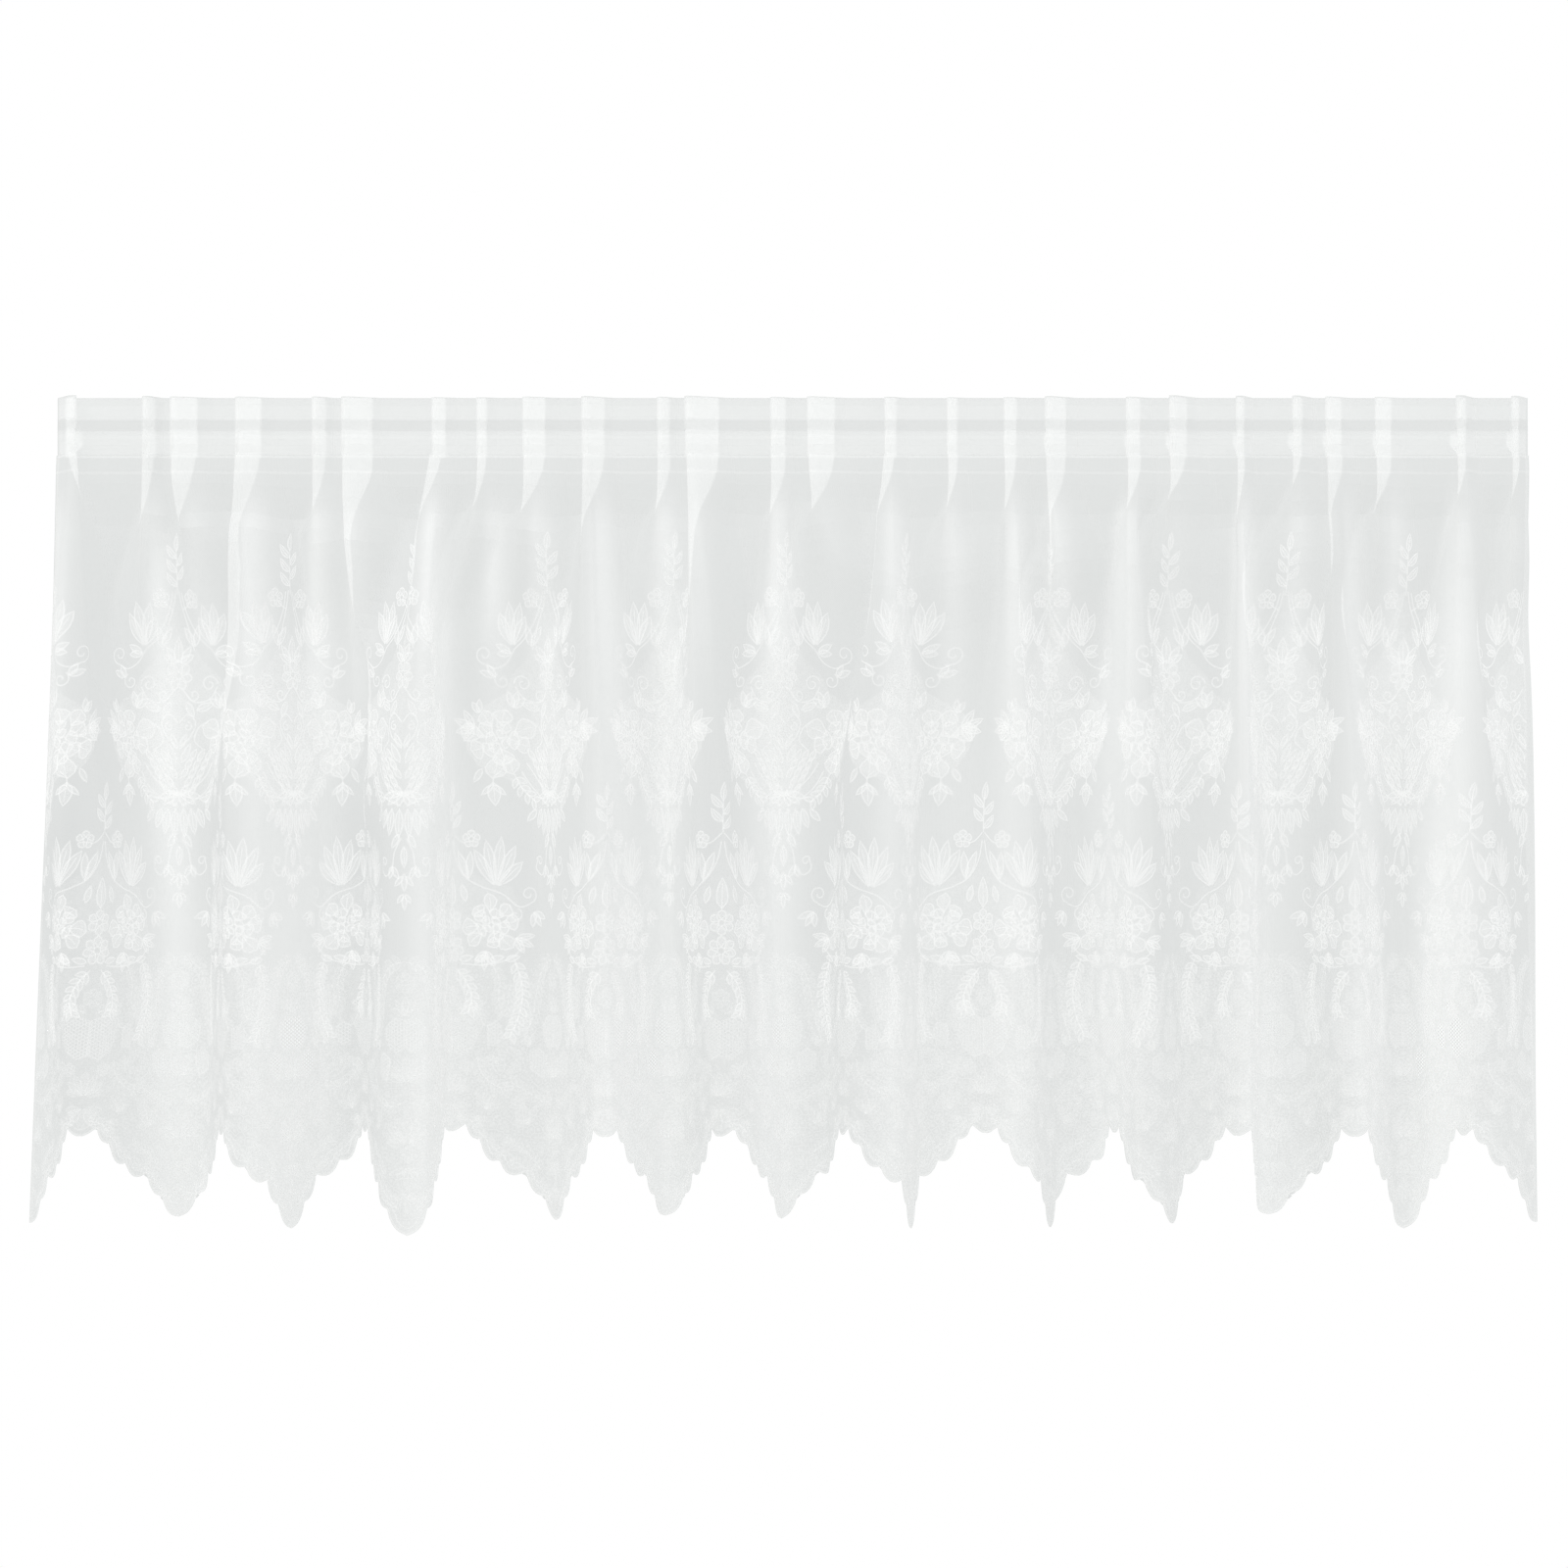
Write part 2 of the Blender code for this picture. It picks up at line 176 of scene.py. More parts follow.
def sectionSlope(along, drop, gain, leaning=1.0):
    settled = ease(drop / foldSizes["foldsSettled"])
    repeats = np.arange(cloth["repeats"]) + 0.5
    slope = np.zeros_like(along)
    for place, taken, crest, gone, way in shortPleats:
        opened = ease(drop / gone)
        near = np.interp(place, repeats, gain)
        wide = crest * (1 + foldSizes["crestSpread"] * opened)
        flank = pleatFlank(taken, wide, mix(near, 1.0, settled), opened, leaning * way, drop)
        crispSide, softSide = (2, 5) if way > 0 else (5, 2)
        flank[crispSide] *= 1 - mix(opened, opened ** foldSizes["crispPower"], leaning)
        flank[softSide] *= 1 - opened
        turn = foldSizes["pleatTurn"] * (1 + foldSizes["turnSpread"] * opened)
        middle = place * cloth["repeat"] + leanShift(wide, opened, leaning * way)
        slope += foldSlope(along - middle, flank, turn)
    units = (cloth["repeat"], cloth["repeat"], math.radians(1)) * 2
    for row in longFolds:
        place, taken, crest, hemPlace, *hemFlank, way = row
        near = np.interp(mix(place, hemPlace, settled), repeats, gain)
        top = pleatFlank(taken, crest, near, settled, leaning * way, drop)
        hem = [value * unit for value, unit in zip(hemFlank, units)]
        hem[2], hem[5] = hem[2] * near, hem[5] * near
        flank = [mix(a, b, settled) for a, b in zip(top, hem)]
        turn = mix(foldSizes["pleatTurn"], foldSizes["hemTurn"], settled)
        middle = crestPlace(row, drop) + leanShift(crest, settled, leaning * way)
        slope += foldSlope(along - middle, flank, turn)
    stood = (drop - foldSizes["overUntil"]) / (foldSizes["overGone"] - foldSizes["overUntil"])
    steepest = mix(foldSizes["steepest"], foldSizes["upright"], ease(stood))
    return np.clip(slope, -steepest, steepest)


def runAlong(values):
    return np.concatenate([[0.0], np.cumsum((values[1:] + values[:-1]) / 2)]) * foldSizes["step"]


def drift(y):
    half = round(cloth["repeat"] / foldSizes["step"]) // 2
    padded = np.concatenate([2 * y[0] - y[half:0:-1], y, 2 * y[-1] - y[-2:-half - 2:-1]])
    sums = np.concatenate([[0.0], np.cumsum(padded)])
    return ((sums[2 * half:] - sums[:-2 * half]) / (2 * half))[:len(y)]


def crestPlaces(drop):
    # the long folds' crests along the cloth, and then the short pleats'
    settled = ease(drop / foldSizes["foldsSettled"])
    places = [crestPlace(row, drop) + leanShift(row[2], settled, row[-1]) for row in longFolds]
    for place, taken, crest, gone, way in shortPleats:
        places.append(place * cloth["repeat"] + leanShift(crest, ease(drop / gone), way))
    return np.array(places)


def inOrder(places, values):
    places, values = np.concatenate(places), np.concatenate(values)
    order = np.argsort(places)
    return places[order], values[order]


def pinCrests(along, x, points, wanted, drop):
    # long folds hang in straight lines from the heading to the hem, and short pleats straight down
    crests = crestPlaces(drop)
    share = (drop - crestLines["topDrop"]) / (crestLines["lowDrop"] - crestLines["topDrop"])
    off = mix(crestLines["top"], crestLines["low"], share) - np.interp(crests, along, x)
    long, longOff = inOrder([crests[:len(longFolds)]], [off[:len(longFolds)]])
    short, shortOff = crests[len(longFolds):], off[len(longFolds):]
    # a repeat point counts for less the nearer it is to a long fold's crest
    away = np.min(np.abs(points[:, None] - long[None, :]), axis=1)
    weight = np.clip((away - crestLines["near"]) / crestLines["far"], 0, 1)
    weight[0] = weight[-1] = 1.0
    pointOff = mix(np.interp(points, long, longOff), wanted - np.interp(points, along, x), weight)
    knots, values = inOrder([long, points], [longOff, pointOff])
    # a short pleat is let go as it opens
    hold = np.array([1 - ease(drop / row[3]) for row in shortPleats])
    eased = mix(np.interp(short, knots, values), shortOff, hold)
    return x + np.interp(along, *inOrder([knots, short], [values, eased]))


def section(drop, pinned=True):
    # the cloth's line seen from above at one drop: places along it, and their x and y
    step = foldSizes["step"]
    along = np.arange(leftEdge, rightEdge + step / 2, step)
    points = np.arange(cloth["repeats"] + 1) * cloth["repeat"]
    share = drop / hemPoints[0][2]
    wanted = np.array([mix(row[0], row[1], share) for row in hemPoints])
    takenUp = cloth["repeat"] - np.diff(wanted)
    gain = np.ones(cloth["repeats"])
    for _ in range(foldSizes["fitRounds"]):
        x = runAlong(np.cos(sectionSlope(along, drop, gain)))
        folded = cloth["repeat"] - np.diff(np.interp(points, along, x))
        gain *= (takenUp / np.maximum(folded, 0.001)) ** foldSizes["fitPower"]
        gain = np.clip(gain, foldSizes["leastGain"], foldSizes["mostGain"])
    slope = sectionSlope(along, drop, gain)
    x = runAlong(np.cos(slope))
    x += np.interp(along, points, wanted - np.interp(points, along, x))
    if pinned:
        x = pinCrests(along, x, points, wanted, drop)
    y = runAlong(np.sin(slope))
    # between two pleats the cloth is as far forward as it would be if they stood straight
    crests = [row[0] * cloth["repeat"] for row in shortPleats]
    crests = sorted(crests + [crestPlace(row, drop) for row in longFolds])
    knots = [along[0]] + [(a + b) / 2 for a, b in zip(crests, crests[1:])] + [along[-1]]
    straight = runAlong(np.sin(sectionSlope(along, drop, gain, 0.0)))
    y += np.interp(along, knots, np.interp(knots, along, straight - y))
    return along, x, y - drift(y) * ease(drop / foldSizes["foldsSettled"])


crestLines = {"topDrop": 0.02, "lowDrop": 0.56, "near": 0.012, "far": 0.04}
for end in ("top", "low"):
    along, x, y = section(crestLines[end + "Drop"], pinned=False)
    crestLines[end] = np.interp(crestPlaces(crestLines[end + "Drop"]), along, x)
# short pleats follow the edges' slight spread
shortTop = crestLines["top"][len(longFolds):]
crestLines["low"][len(longFolds):] = shortTop * hemPoints[-1][1] / hemPoints[-1][0]


# painted light and shade along the folds: added cover makes the crests brighter, as where they catch the
# light x under the heading, x from halfway down, cover that they add there, and cover near the hem;
# less than nothing where the cloth is painted darker, as in shade
foldLightBands = [
    (-0.5233, -0.5304, 0.2, 0.0),
    (-0.5163, -0.5163, 0.0, -0.13),
    (-0.4616, -0.4461, 0.22, 0.38),
    (-0.4335, -0.411, 0.13, -0.08),
    (-0.3879, -0.3773, 0.28, 0.28),
    (-0.3352, -0.3521, 0.22, 0.22),
    (-0.3141, -0.3099, 0.16, -0.12),
    (-0.2559, -0.258, 0.28, 0.36),
    (-0.2159, -0.2117, 0.16, 0.02),
    (-0.1843, -0.1723, 0.18, 0.05),
    (-0.14, -0.1246, 0.27, 0.3),
    (-0.0895, -0.0937, 0.26, 0.3),
    (-0.067, -0.067, 0.12, -0.07),
    (-0.0088, -0.0123, 0.25, 0.38),
    (0.0242, 0.0369, 0.06, -0.08),
    (0.0713, 0.0762, 0.22, 0.26),
    (0.1155, 0.1141, 0.15, 0.1),
    (0.1597, 0.1576, 0.2, 0.22),
    (0.1878, 0.1955, 0.2, 0.03),
    (0.2404, 0.2306, 0.21, 0.24),
    (0.272, 0.2797, 0.08, 0.03),
    (0.3212, 0.3324, 0.24, 0.32),
    (0.3633, 0.3584, 0.17, 0.14),
    (0.3822, 0.3808, 0.0, -0.08),
    (0.3963, 0.4124, 0.12, 0.28),
    (0.4314, 0.4384, 0.17, 0.0),
    (0.4791, 0.4665, 0.18, 0.5),
    (0.5177, 0.5072, 0.08, 0.02),
]
foldLightSizes = {
    "straightFrom": 0.38,
    "drops": (0.04, 0.065, 0.09, 0.14, 0.32, 0.60),
    "upperShares": (0.0, 0.15, 1.40, 1.60, 0.0, 0.0),
    "lowerShares": (0.0, 0.0, 0.0, 0.20, 1.0, 1.0),
    "widening": (0.05, 0.28),       # drop at which a band starts to widen, and over how much
    "left": (0.0035, 0.012),        # half widths under the heading and lower down
    "right": (0.0065, 0.013),
}


def foldLightTone(x, drop):
    # painted light and shade: how much cover the fold bands add at each place across one drop
    sizes = foldLightSizes
    lower = ease((drop - sizes["widening"][0]) / sizes["widening"][1])
    tone = np.zeros_like(x)
    for top, low, upper, hem in foldLightBands:
        centre = mix(top, low, min(1.0, drop / sizes["straightFrom"]))
        strength = upper * np.interp(drop, sizes["drops"], sizes["upperShares"])
        strength += hem * np.interp(drop, sizes["drops"], sizes["lowerShares"])
        away = x - centre
        wide = np.where(away < 0, mix(*sizes["left"], lower), mix(*sizes["right"], lower))
        tone += strength * np.exp(-(away / wide) ** 2 / 2)
    return tone


# the hem's outline
# width along the cloth, drop at its far cusp, belly
scallops = [
    (0.0116, 0.5225, 0.0015),
    (0.0103, 0.5335, 0.0050),
    (0.0140, 0.5490, 0.0080),
    (0.0190, 0.5580, 0.0070),
    (0.0135, 0.5760, 0.0070),
    (0.0149, 0.5930, 0.0060),
]
hemShape = {"valleyDrop": 0.5280, "bellyLean": 0.7, "steps": 8}


def halfHem(steps):
    places = [(0.0, hemShape["valleyDrop"])]
    start, last = 0.0, hemShape["valleyDrop"]
    for width, reach, belly in scallops:
        for step in range(1, steps + 1):
            t = step / steps
            bulge = belly * math.sin(math.pi * t ** hemShape["bellyLean"])
            places.append((start + width * t, mix(last, reach, t) + bulge))
        start += width
        last = reach
    stretch = cloth["repeat"] / 2 / start
    return [(place * stretch, reach) for place, reach in places]


def hemLine(steps):
    half = halfHem(steps)
    line = [(leftEdge, hemPoints[0][2])]
    for number in range(cloth["repeats"]):
        middle = (number + 0.5) * cloth["repeat"]
        for side, tip in ((-1, hemPoints[number][2]), (1, hemPoints[number + 1][2])):
            run = []
            for place, reach in half:
                lower = (tip - scallops[-1][1]) * (place / (cloth["repeat"] / 2)) ** 2
                run.append((middle + side * place, reach + lower))
            line += run[:0:-1] if side < 0 else run[:-1]
    line += [(clothWidth, hemPoints[-1][2]), (rightEdge, hemPoints[-1][2])]
    return np.array(line)


# guides: the hanging shape as a fine mesh with its flat places as a UV map
guides = {
    "columnStep": 0.0018,
    "overhang": 0.010,              # how far a guide goes on past the cloth's edges
    "edgeSteps": 4,                 # steps of a section that give its direction at an edge
    "topDrop": 0.0405,
    "lowDrop": 0.612,
    "rows": 64,
    "tunnelHalfDepth": 0.0035,
    "tunnelSlope": 0.011,
    "backGather": 0.30,
    "layerShift": 0.0006,
    "backFirst": 0.0005,            # the back's first line on the flat map, just past the top edge
}
# the heading's lines across, from its lower edge up to the fold
headingLines = (
    0.043, 0.0415, 0.040, 0.0385, 0.034, 0.030, 0.025, 0.0205,
    0.019, 0.0175, 0.016, 0.012, 0.008, 0.004, 0.001, 0.0,
)


def clothColumns(step, overhang=0.0):
    first, last = leftEdge - overhang, rightEdge + overhang
    return np.linspace(first, last, round((last - first) / step) + 1)


def guideColumns():
    return clothColumns(guides["columnStep"], guides["overhang"])


def readColumns(along, values, columns):
    # go on in a straight line past the cloth's own edges
    inside = np.interp(columns, along, values)
    left, right = columns < along[0], columns > along[-1]
    steps = guides["edgeSteps"]
    run = steps * foldSizes["step"]
    inside[left] = values[0] + (columns[left] - along[0]) * (values[steps] - values[0]) / run
    inside[right] = values[-1] + (columns[right] - along[-1]) * (values[-1] - values[-1 - steps]) / run
    return inside


def makeMesh(name, points, faces):
    mesh = bpy.data.meshes.new(name)
    mesh.from_pydata(points, [], faces)
    mesh.validate()
    return mesh


def gridFaces(rows, columns):
    # faces between the points of a grid, row by row from the top
    corner = np.arange(columns - 1)
    band = np.stack([corner, corner + columns, corner + columns + 1, corner + 1], axis=1)
    return np.concatenate([band + row * columns for row in range(rows - 1)]).tolist()


def flatGrid(columns, lines, lift=0.0):
    # points and faces of a flat sheet; each line is one y, or a y for each column
    points = [np.stack([columns, line + 0 * columns, lift + 0 * columns], axis=1) for line in lines]
    return np.concatenate(points).tolist(), gridFaces(len(lines), len(columns))


def makeObject(name, mesh):
    thing = bpy.data.objects.new(name, mesh)
    scene.collection.objects.link(thing)
    return thing


def makeGuide(name, rows, flatDrops, tones):
    # rows: x, y, z arrays for each line across; flatDrops and tones: each line's flat drop and painted fold
    # light and shade
    count = len(rows[0][0])
    points = np.concatenate([np.stack(row, axis=1) for row in rows])
    mesh = makeMesh(name, points.tolist(), gridFaces(len(rows), count))
    flat = mesh.uv_layers.new(name="flat")
    columns = guideColumns()
    uv = np.stack([np.tile(columns, len(rows)), 1 - np.repeat(flatDrops, count)], axis=1)
    corners = np.empty(len(mesh.loops), dtype=np.int32)
    mesh.loops.foreach_get("vertex_index", corners)
    flat.data.foreach_set("uv", uv[corners].astype(np.float32).ravel())
    # the painted fold light and shade goes with the guide, to be read by the sheer's material
    tone = mesh.attributes.new("foldTone", "FLOAT", "POINT")
    tone.data.foreach_set("value", np.concatenate(tones).astype(np.float32))
    mesh.shade_smooth()
    return makeObject(name, mesh)


def panelGuide():
    columns = guideColumns()
    drops = np.linspace(guides["topDrop"], guides["lowDrop"], guides["rows"])
    rows = []
    for drop in drops:
        along, x, y = section(drop)
        x, y = readColumns(along, x, columns), readColumns(along, y, columns)
        rows.append((x, y, np.full(len(columns), -drop)))
    tones = [foldLightTone(row[0], drop) for row, drop in zip(rows, drops)]
    return makeGuide("panel_guide", rows, drops, tones)


def shiftSideways(x, y, distance):
    dx, dy = np.gradient(x), np.gradient(y)
    length = np.maximum(np.hypot(dx, dy), 1e-9)
    return x - dy / length * distance, y + dx / length * distance


def tunnelBulge(drop):
    top, low = drop - cloth["frillDrop"], cloth["headingDrop"] - drop
    return ease(min(top, low) / guides["tunnelSlope"])


def headingGuide():
    # up the front, over the top edge and down the back; the back's drops count as negative
    columns = guideColumns()
    along, x, y = section(cloth["headingDrop"] / 2)
    x, y = readColumns(along, x, columns), readColumns(along, y, columns)
    gathered = np.minimum(y, 0.0)
    front = shiftSideways(x, y, -guides["layerShift"])
    back = shiftSideways(x, y, guides["layerShift"])
    depth = guides["tunnelHalfDepth"]
    frontFull = (x, gathered - depth)
    backFull = (x, depth - gathered * guides["backGather"])
    flat = list(headingLines) + [-max(drop, guides["backFirst"]) for drop in headingLines[::-1]]
    rows = []
    for layer, full, drops in ((front, frontFull, headingLines), (back, backFull, headingLines[::-1])):
        for drop in drops:
            lineX, lineY = (mix(a, b, tunnelBulge(drop)) for a, b in zip(layer, full))
            rows.append((lineX, lineY, np.full(len(columns), -drop)))
    return makeGuide("heading_guide", rows, np.array(flat), [np.zeros(len(columns))] * len(rows))


# node helpers
def feed(tree, socket, value):
    if isinstance(value, bpy.types.NodeSocket):
        tree.links.new(value, socket)
    else:
        socket.default_value = value


def newNode(tree, kind, links=(), **settings):
    # links: (input name or number, value or socket); settings: attributes of the node
    node = tree.nodes.new(kind)
    for key, value in settings.items():
        setattr(node, key, value)
    for place, value in links:
        feed(tree, node.inputs[place], value)
    return node


def mathNode(tree, operation, first, second=0.0):
    return newNode(tree, "ShaderNodeMath", [(0, first), (1, second)], operation=operation).outputs[0]


def vectorMath(tree, operation, first, second):
    return newNode(tree, "ShaderNodeVectorMath", [(0, first), (1, second)], operation=operation).outputs[0]


def mixColours(tree, share, first, second):
    node = newNode(tree, "ShaderNodeMix", [(0, share)], data_type="RGBA")
    for socket, colour in zip([socket for socket in node.inputs if socket.type == "RGBA"], (first, second)):
        feed(tree, socket, colour)
    return next(socket for socket in node.outputs if socket.type == "RGBA")


def mapRange(tree, value, *limits):
    # limits: from least, from most, to least, to most; the first two are 0 and 1 where left as None
    links = [(place, limit) for place, limit in enumerate(limits, 1) if limit is not None]
    return newNode(tree, "ShaderNodeMapRange", [("Value", value), *links]).outputs[0]


def sampleGuide(tree, guide, value, flatMap, flatPlace, kind):
    return newNode(tree, "GeometryNodeSampleUVSurface", [
        ("Mesh", guide), ("Value", value), ("UV Map", flatMap), ("Sample UV", flatPlace),
    ], data_type=kind).outputs["Value"]


def namedAttribute(tree, name, kind):
    return newNode(tree, "GeometryNodeInputNamedAttribute", [("Name", name)], data_type=kind).outputs[0]


def newTree(name, inputs, outputs, kind="GeometryNodeTree"):
    # inputs and outputs: (name, socket type, default or None)
    tree = bpy.data.node_groups.new(name, kind)
    for way, sockets in (("INPUT", inputs), ("OUTPUT", outputs)):
        for label, socketType, default in sockets:
            socket = tree.interface.new_socket(label, in_out=way, socket_type=socketType)
            if default is not None:
                socket.default_value = default
    return tree, tree.nodes.new("NodeGroupInput").outputs, tree.nodes.new("NodeGroupOutput").inputs


# hanging: moves flat geometry onto a guide by the guide's flat places
def hangingTree():
    geometry = "NodeSocketGeometry"
    tree, given, result = newTree("hang_on_folds", [
        ("Flat", geometry, None),
        ("Guide", "NodeSocketObject", None),
        ("Material", "NodeSocketMaterial", None),
    ], [("Hung", geometry, None)])
    place = newNode(tree, "GeometryNodeInputPosition").outputs[0]
    parts = newNode(tree, "ShaderNodeSeparateXYZ", [(0, place)]).outputs
    down = mathNode(tree, "ADD", parts["Y"], 1.0)
    flatPlace = newNode(tree, "ShaderNodeCombineXYZ", [("X", parts["X"]), ("Y", down)]).outputs[0]
    stored = newNode(tree, "GeometryNodeStoreNamedAttribute", [
        ("Geometry", given["Flat"]), ("Name", "clothMap"), ("Value", flatPlace),
    ], data_type="FLOAT2", domain="CORNER").outputs[0]
    guide = newNode(tree, "GeometryNodeObjectInfo", [("Object", given["Guide"])]).outputs["Geometry"]
    flatMap = namedAttribute(tree, "flat", "FLOAT_VECTOR")
    normal = newNode(tree, "GeometryNodeInputNormal").outputs[0]
    # the painted fold light and shade is carried from the guide onto the hung cloth
    foldLightMap = namedAttribute(tree, "foldTone", "FLOAT")
    onGuide = sampleGuide(tree, guide, place, flatMap, flatPlace, "FLOAT_VECTOR")
    facing = sampleGuide(tree, guide, normal, flatMap, flatPlace, "FLOAT_VECTOR")
    tone = sampleGuide(tree, guide, foldLightMap, flatMap, flatPlace, "FLOAT")
    stored = newNode(tree, "GeometryNodeStoreNamedAttribute", [
        ("Geometry", stored), ("Name", "foldTone"), ("Value", tone),
    ], data_type="FLOAT", domain="POINT").outputs[0]
    outward = newNode(tree, "ShaderNodeVectorMath", [(0, facing), ("Scale", parts["Z"])], operation="SCALE")
    hung = newNode(tree, "GeometryNodeSetPosition", [
        ("Geometry", stored), ("Position", vectorMath(tree, "ADD", onGuide, outward.outputs[0])),
    ]).outputs[0]
    finished = newNode(tree, "GeometryNodeSetMaterial", [
        ("Geometry", hung), ("Material", given["Material"]),
    ]).outputs[0]
    tree.links.new(finished, result["Hung"])
    return tree


def repeatTree(hanging):
    # half motifs and their mirrored halves are set out along the cloth, with the middles, and hung
    geometry = "NodeSocketGeometry"
    tree, given, result = newTree("lace_repeat", [
        ("Motif", geometry, None),
        ("Guide", "NodeSocketObject", None),
        ("Material", "NodeSocketMaterial", None),
        ("Repeat", "NodeSocketFloat", cloth["repeat"]),
        ("First", "NodeSocketFloat", 0.0),
        ("Count", "NodeSocketInt", 1),
        ("Mirror shift", "NodeSocketFloat", 0.0),
        ("Middle first", "NodeSocketFloat", 0.0),
        ("Middle count", "NodeSocketInt", 1),
    ], [("Lace", geometry, None)])
    mark = namedAttribute(tree, "middle", "BOOLEAN")
    middle, half = newNode(tree, "GeometryNodeSeparateGeometry", [
        ("Geometry", given["Motif"]), ("Selection", mark),
    ], domain="FACE").outputs
    turned = newNode(tree, "GeometryNodeTransform", [("Geometry", half), ("Scale", (-1, 1, 1))])
    turned = newNode(tree, "GeometryNodeFlipFaces", [("Mesh", turned.outputs[0])]).outputs[0]
    mirrorFirst = mathNode(tree, "ADD", given["First"], given["Mirror shift"])
    step = newNode(tree, "ShaderNodeCombineXYZ", [("X", given["Repeat"])]).outputs[0]
    lace = newNode(tree, "GeometryNodeJoinGeometry")
    for shape, first, count in (
        (half, given["First"], given["Count"]),
        (turned, mirrorFirst, given["Count"]),
        (middle, given["Middle first"], given["Middle count"]),
    ):
        start = newNode(tree, "ShaderNodeCombineXYZ", [("X", first)]).outputs[0]
        places = newNode(tree, "GeometryNodeMeshLine", [
            ("Count", count), ("Start Location", start), ("Offset", step),
        ]).outputs[0]
        instances = newNode(tree, "GeometryNodeInstanceOnPoints", [("Points", places), ("Instance", shape)])
        tree.links.new(instances.outputs[0], lace.inputs[0])
    real = newNode(tree, "GeometryNodeRealizeInstances", [("Geometry", lace.outputs[0])]).outputs[0]
    smooth = newNode(tree, "GeometryNodeSetShadeSmooth", [("Geometry", real)]).outputs[0]
    shared = [(label, given[label]) for label in ("Guide", "Material")]
    hung = newNode(tree, "GeometryNodeGroup", [("Flat", smooth), *shared], node_tree=hanging).outputs[0]
    tree.links.new(hung, result["Lace"])
    return tree


def hang(flatThing, tree, values):
    # runs the tree on a flat object and keeps what comes out as the piece
    modifier = flatThing.modifiers.new("hang", "NODES")
    modifier.node_group = tree
    names = {item.name: item.identifier for item in tree.interface.items_tree if item.in_out == "INPUT"}
    for label, value in values.items():
        modifier[names[label]] = value
    flatThing.update_tag()
    bpy.context.view_layer.update()
    seen = bpy.context.evaluated_depsgraph_get()
    mesh = bpy.data.meshes.new_from_object(flatThing.evaluated_get(seen), depsgraph=seen)
    flatThing.modifiers.remove(modifier)
    flatMesh = flatThing.data
    flatThing.data = mesh
    bpy.data.meshes.remove(flatMesh)
    mesh.name = flatThing.name
    return flatThing


# shared effects
def hexNetGroup():
    # a net of rounded six-sided meshes: three waves at sixty degrees give its threads
    number = "NodeSocketFloat"
    tree, given, result = newTree("hex_net", [
        ("Flat", "NodeSocketVector", None),
        ("Pitch", number, 0.0012),
        ("Thread", number, 0.5),
        ("Softness", number, 0.3),
    ], [("Cover", number, None)], "ShaderNodeTree")
    turn = mathNode(tree, "DIVIDE", 4 * math.pi / math.sqrt(3), given["Pitch"])
    waves = None
    for angle in (0, 60, 120):
        way = (math.cos(math.radians(angle)), math.sin(math.radians(angle)), 0)
        place = newNode(tree, "ShaderNodeVectorMath", [
            (0, given["Flat"]), (1, way),
        ], operation="DOT_PRODUCT").outputs["Value"]
        wave = mathNode(tree, "COSINE", mathNode(tree, "MULTIPLY", place, turn))
        waves = wave if waves is None else mathNode(tree, "ADD", waves, wave)
    # the three waves add up to 3 in an opening's middle and to -1.5 where threads cross
    level = mapRange(tree, waves, 3.0, -1.5)
    low = mathNode(tree, "SUBTRACT", 1.0, given["Thread"])
    high = mathNode(tree, "ADD", low, given["Softness"])
    tree.links.new(mapRange(tree, level, low, high), result["Cover"])
    return tree


def clothToneGroup():
    # slow changes of shade along the threads
    tree, given, result = newTree("cloth_tone", [
        ("Flat", "NodeSocketVector", None),
        ("Light", "NodeSocketColor", (0.93, 0.94, 0.93, 1)),
        ("Shade", "NodeSocketColor", (0.86, 0.88, 0.88, 1)),
        ("Size", "NodeSocketFloat", 60.0),
    ], [("Color", "NodeSocketColor", None)], "ShaderNodeTree")
    noise = newNode(tree, "ShaderNodeTexNoise", [("Vector", given["Flat"]), ("Scale", given["Size"])])
    colour = mixColours(tree, noise.outputs["Fac"], given["Light"], given["Shade"])
    tree.links.new(colour, result["Color"])
    return tree


def fineFigureGroup():
    # small leaves and threads packed close: irregular cells with bright hearts and bright edges
    number = "NodeSocketFloat"
    tree, given, result = newTree("fine_figure", [
        ("Flat", "NodeSocketVector", None),
        ("Cell", number, 0.005),
    ], [("Cover", number, None)], "ShaderNodeTree")
    links = [("Vector", given["Flat"]), ("Scale", mathNode(tree, "DIVIDE", 1.0, given["Cell"]))]
    kinds = {"F1": (0.12, 0.42, 1.0, 0.0), "DISTANCE_TO_EDGE": (0.02, 0.12, 0.8, 0.0)}
    heart, edge = (
        mapRange(tree, newNode(
            tree, "ShaderNodeTexVoronoi", links, voronoi_dimensions="2D", feature=kind,
        ).outputs["Distance"], *limits)
        for kind, limits in kinds.items()
    )
    tree.links.new(mathNode(tree, "MAXIMUM", heart, edge), result["Cover"])
    return tree


def layeredGroup():
    # cloth seen at a slant covers more: one minus what one layer lets through, to the power 1 / cosine
    number = "NodeSocketFloat"
    tree, given, result = newTree("seen_cover", [
        ("Cover", number, 0.35),
        ("Facing", number, 0.0),
        ("Least cosine", number, 0.15),
    ], [("Alpha", number, None)], "ShaderNodeTree")
    cosine = mathNode(tree, "SUBTRACT", 1.0, given["Facing"])
    cosine = mathNode(tree, "MAXIMUM", cosine, given["Least cosine"])
    through = mathNode(tree, "SUBTRACT", 1.0, given["Cover"])
    passed = mathNode(tree, "POWER", through, mathNode(tree, "DIVIDE", 1.0, cosine))
    tree.links.new(mathNode(tree, "SUBTRACT", 1.0, passed), result["Alpha"])
    return tree


hexNet = hexNetGroup()
clothTone = clothToneGroup()
seenCover = layeredGroup()
fineFigure = fineFigureGroup()


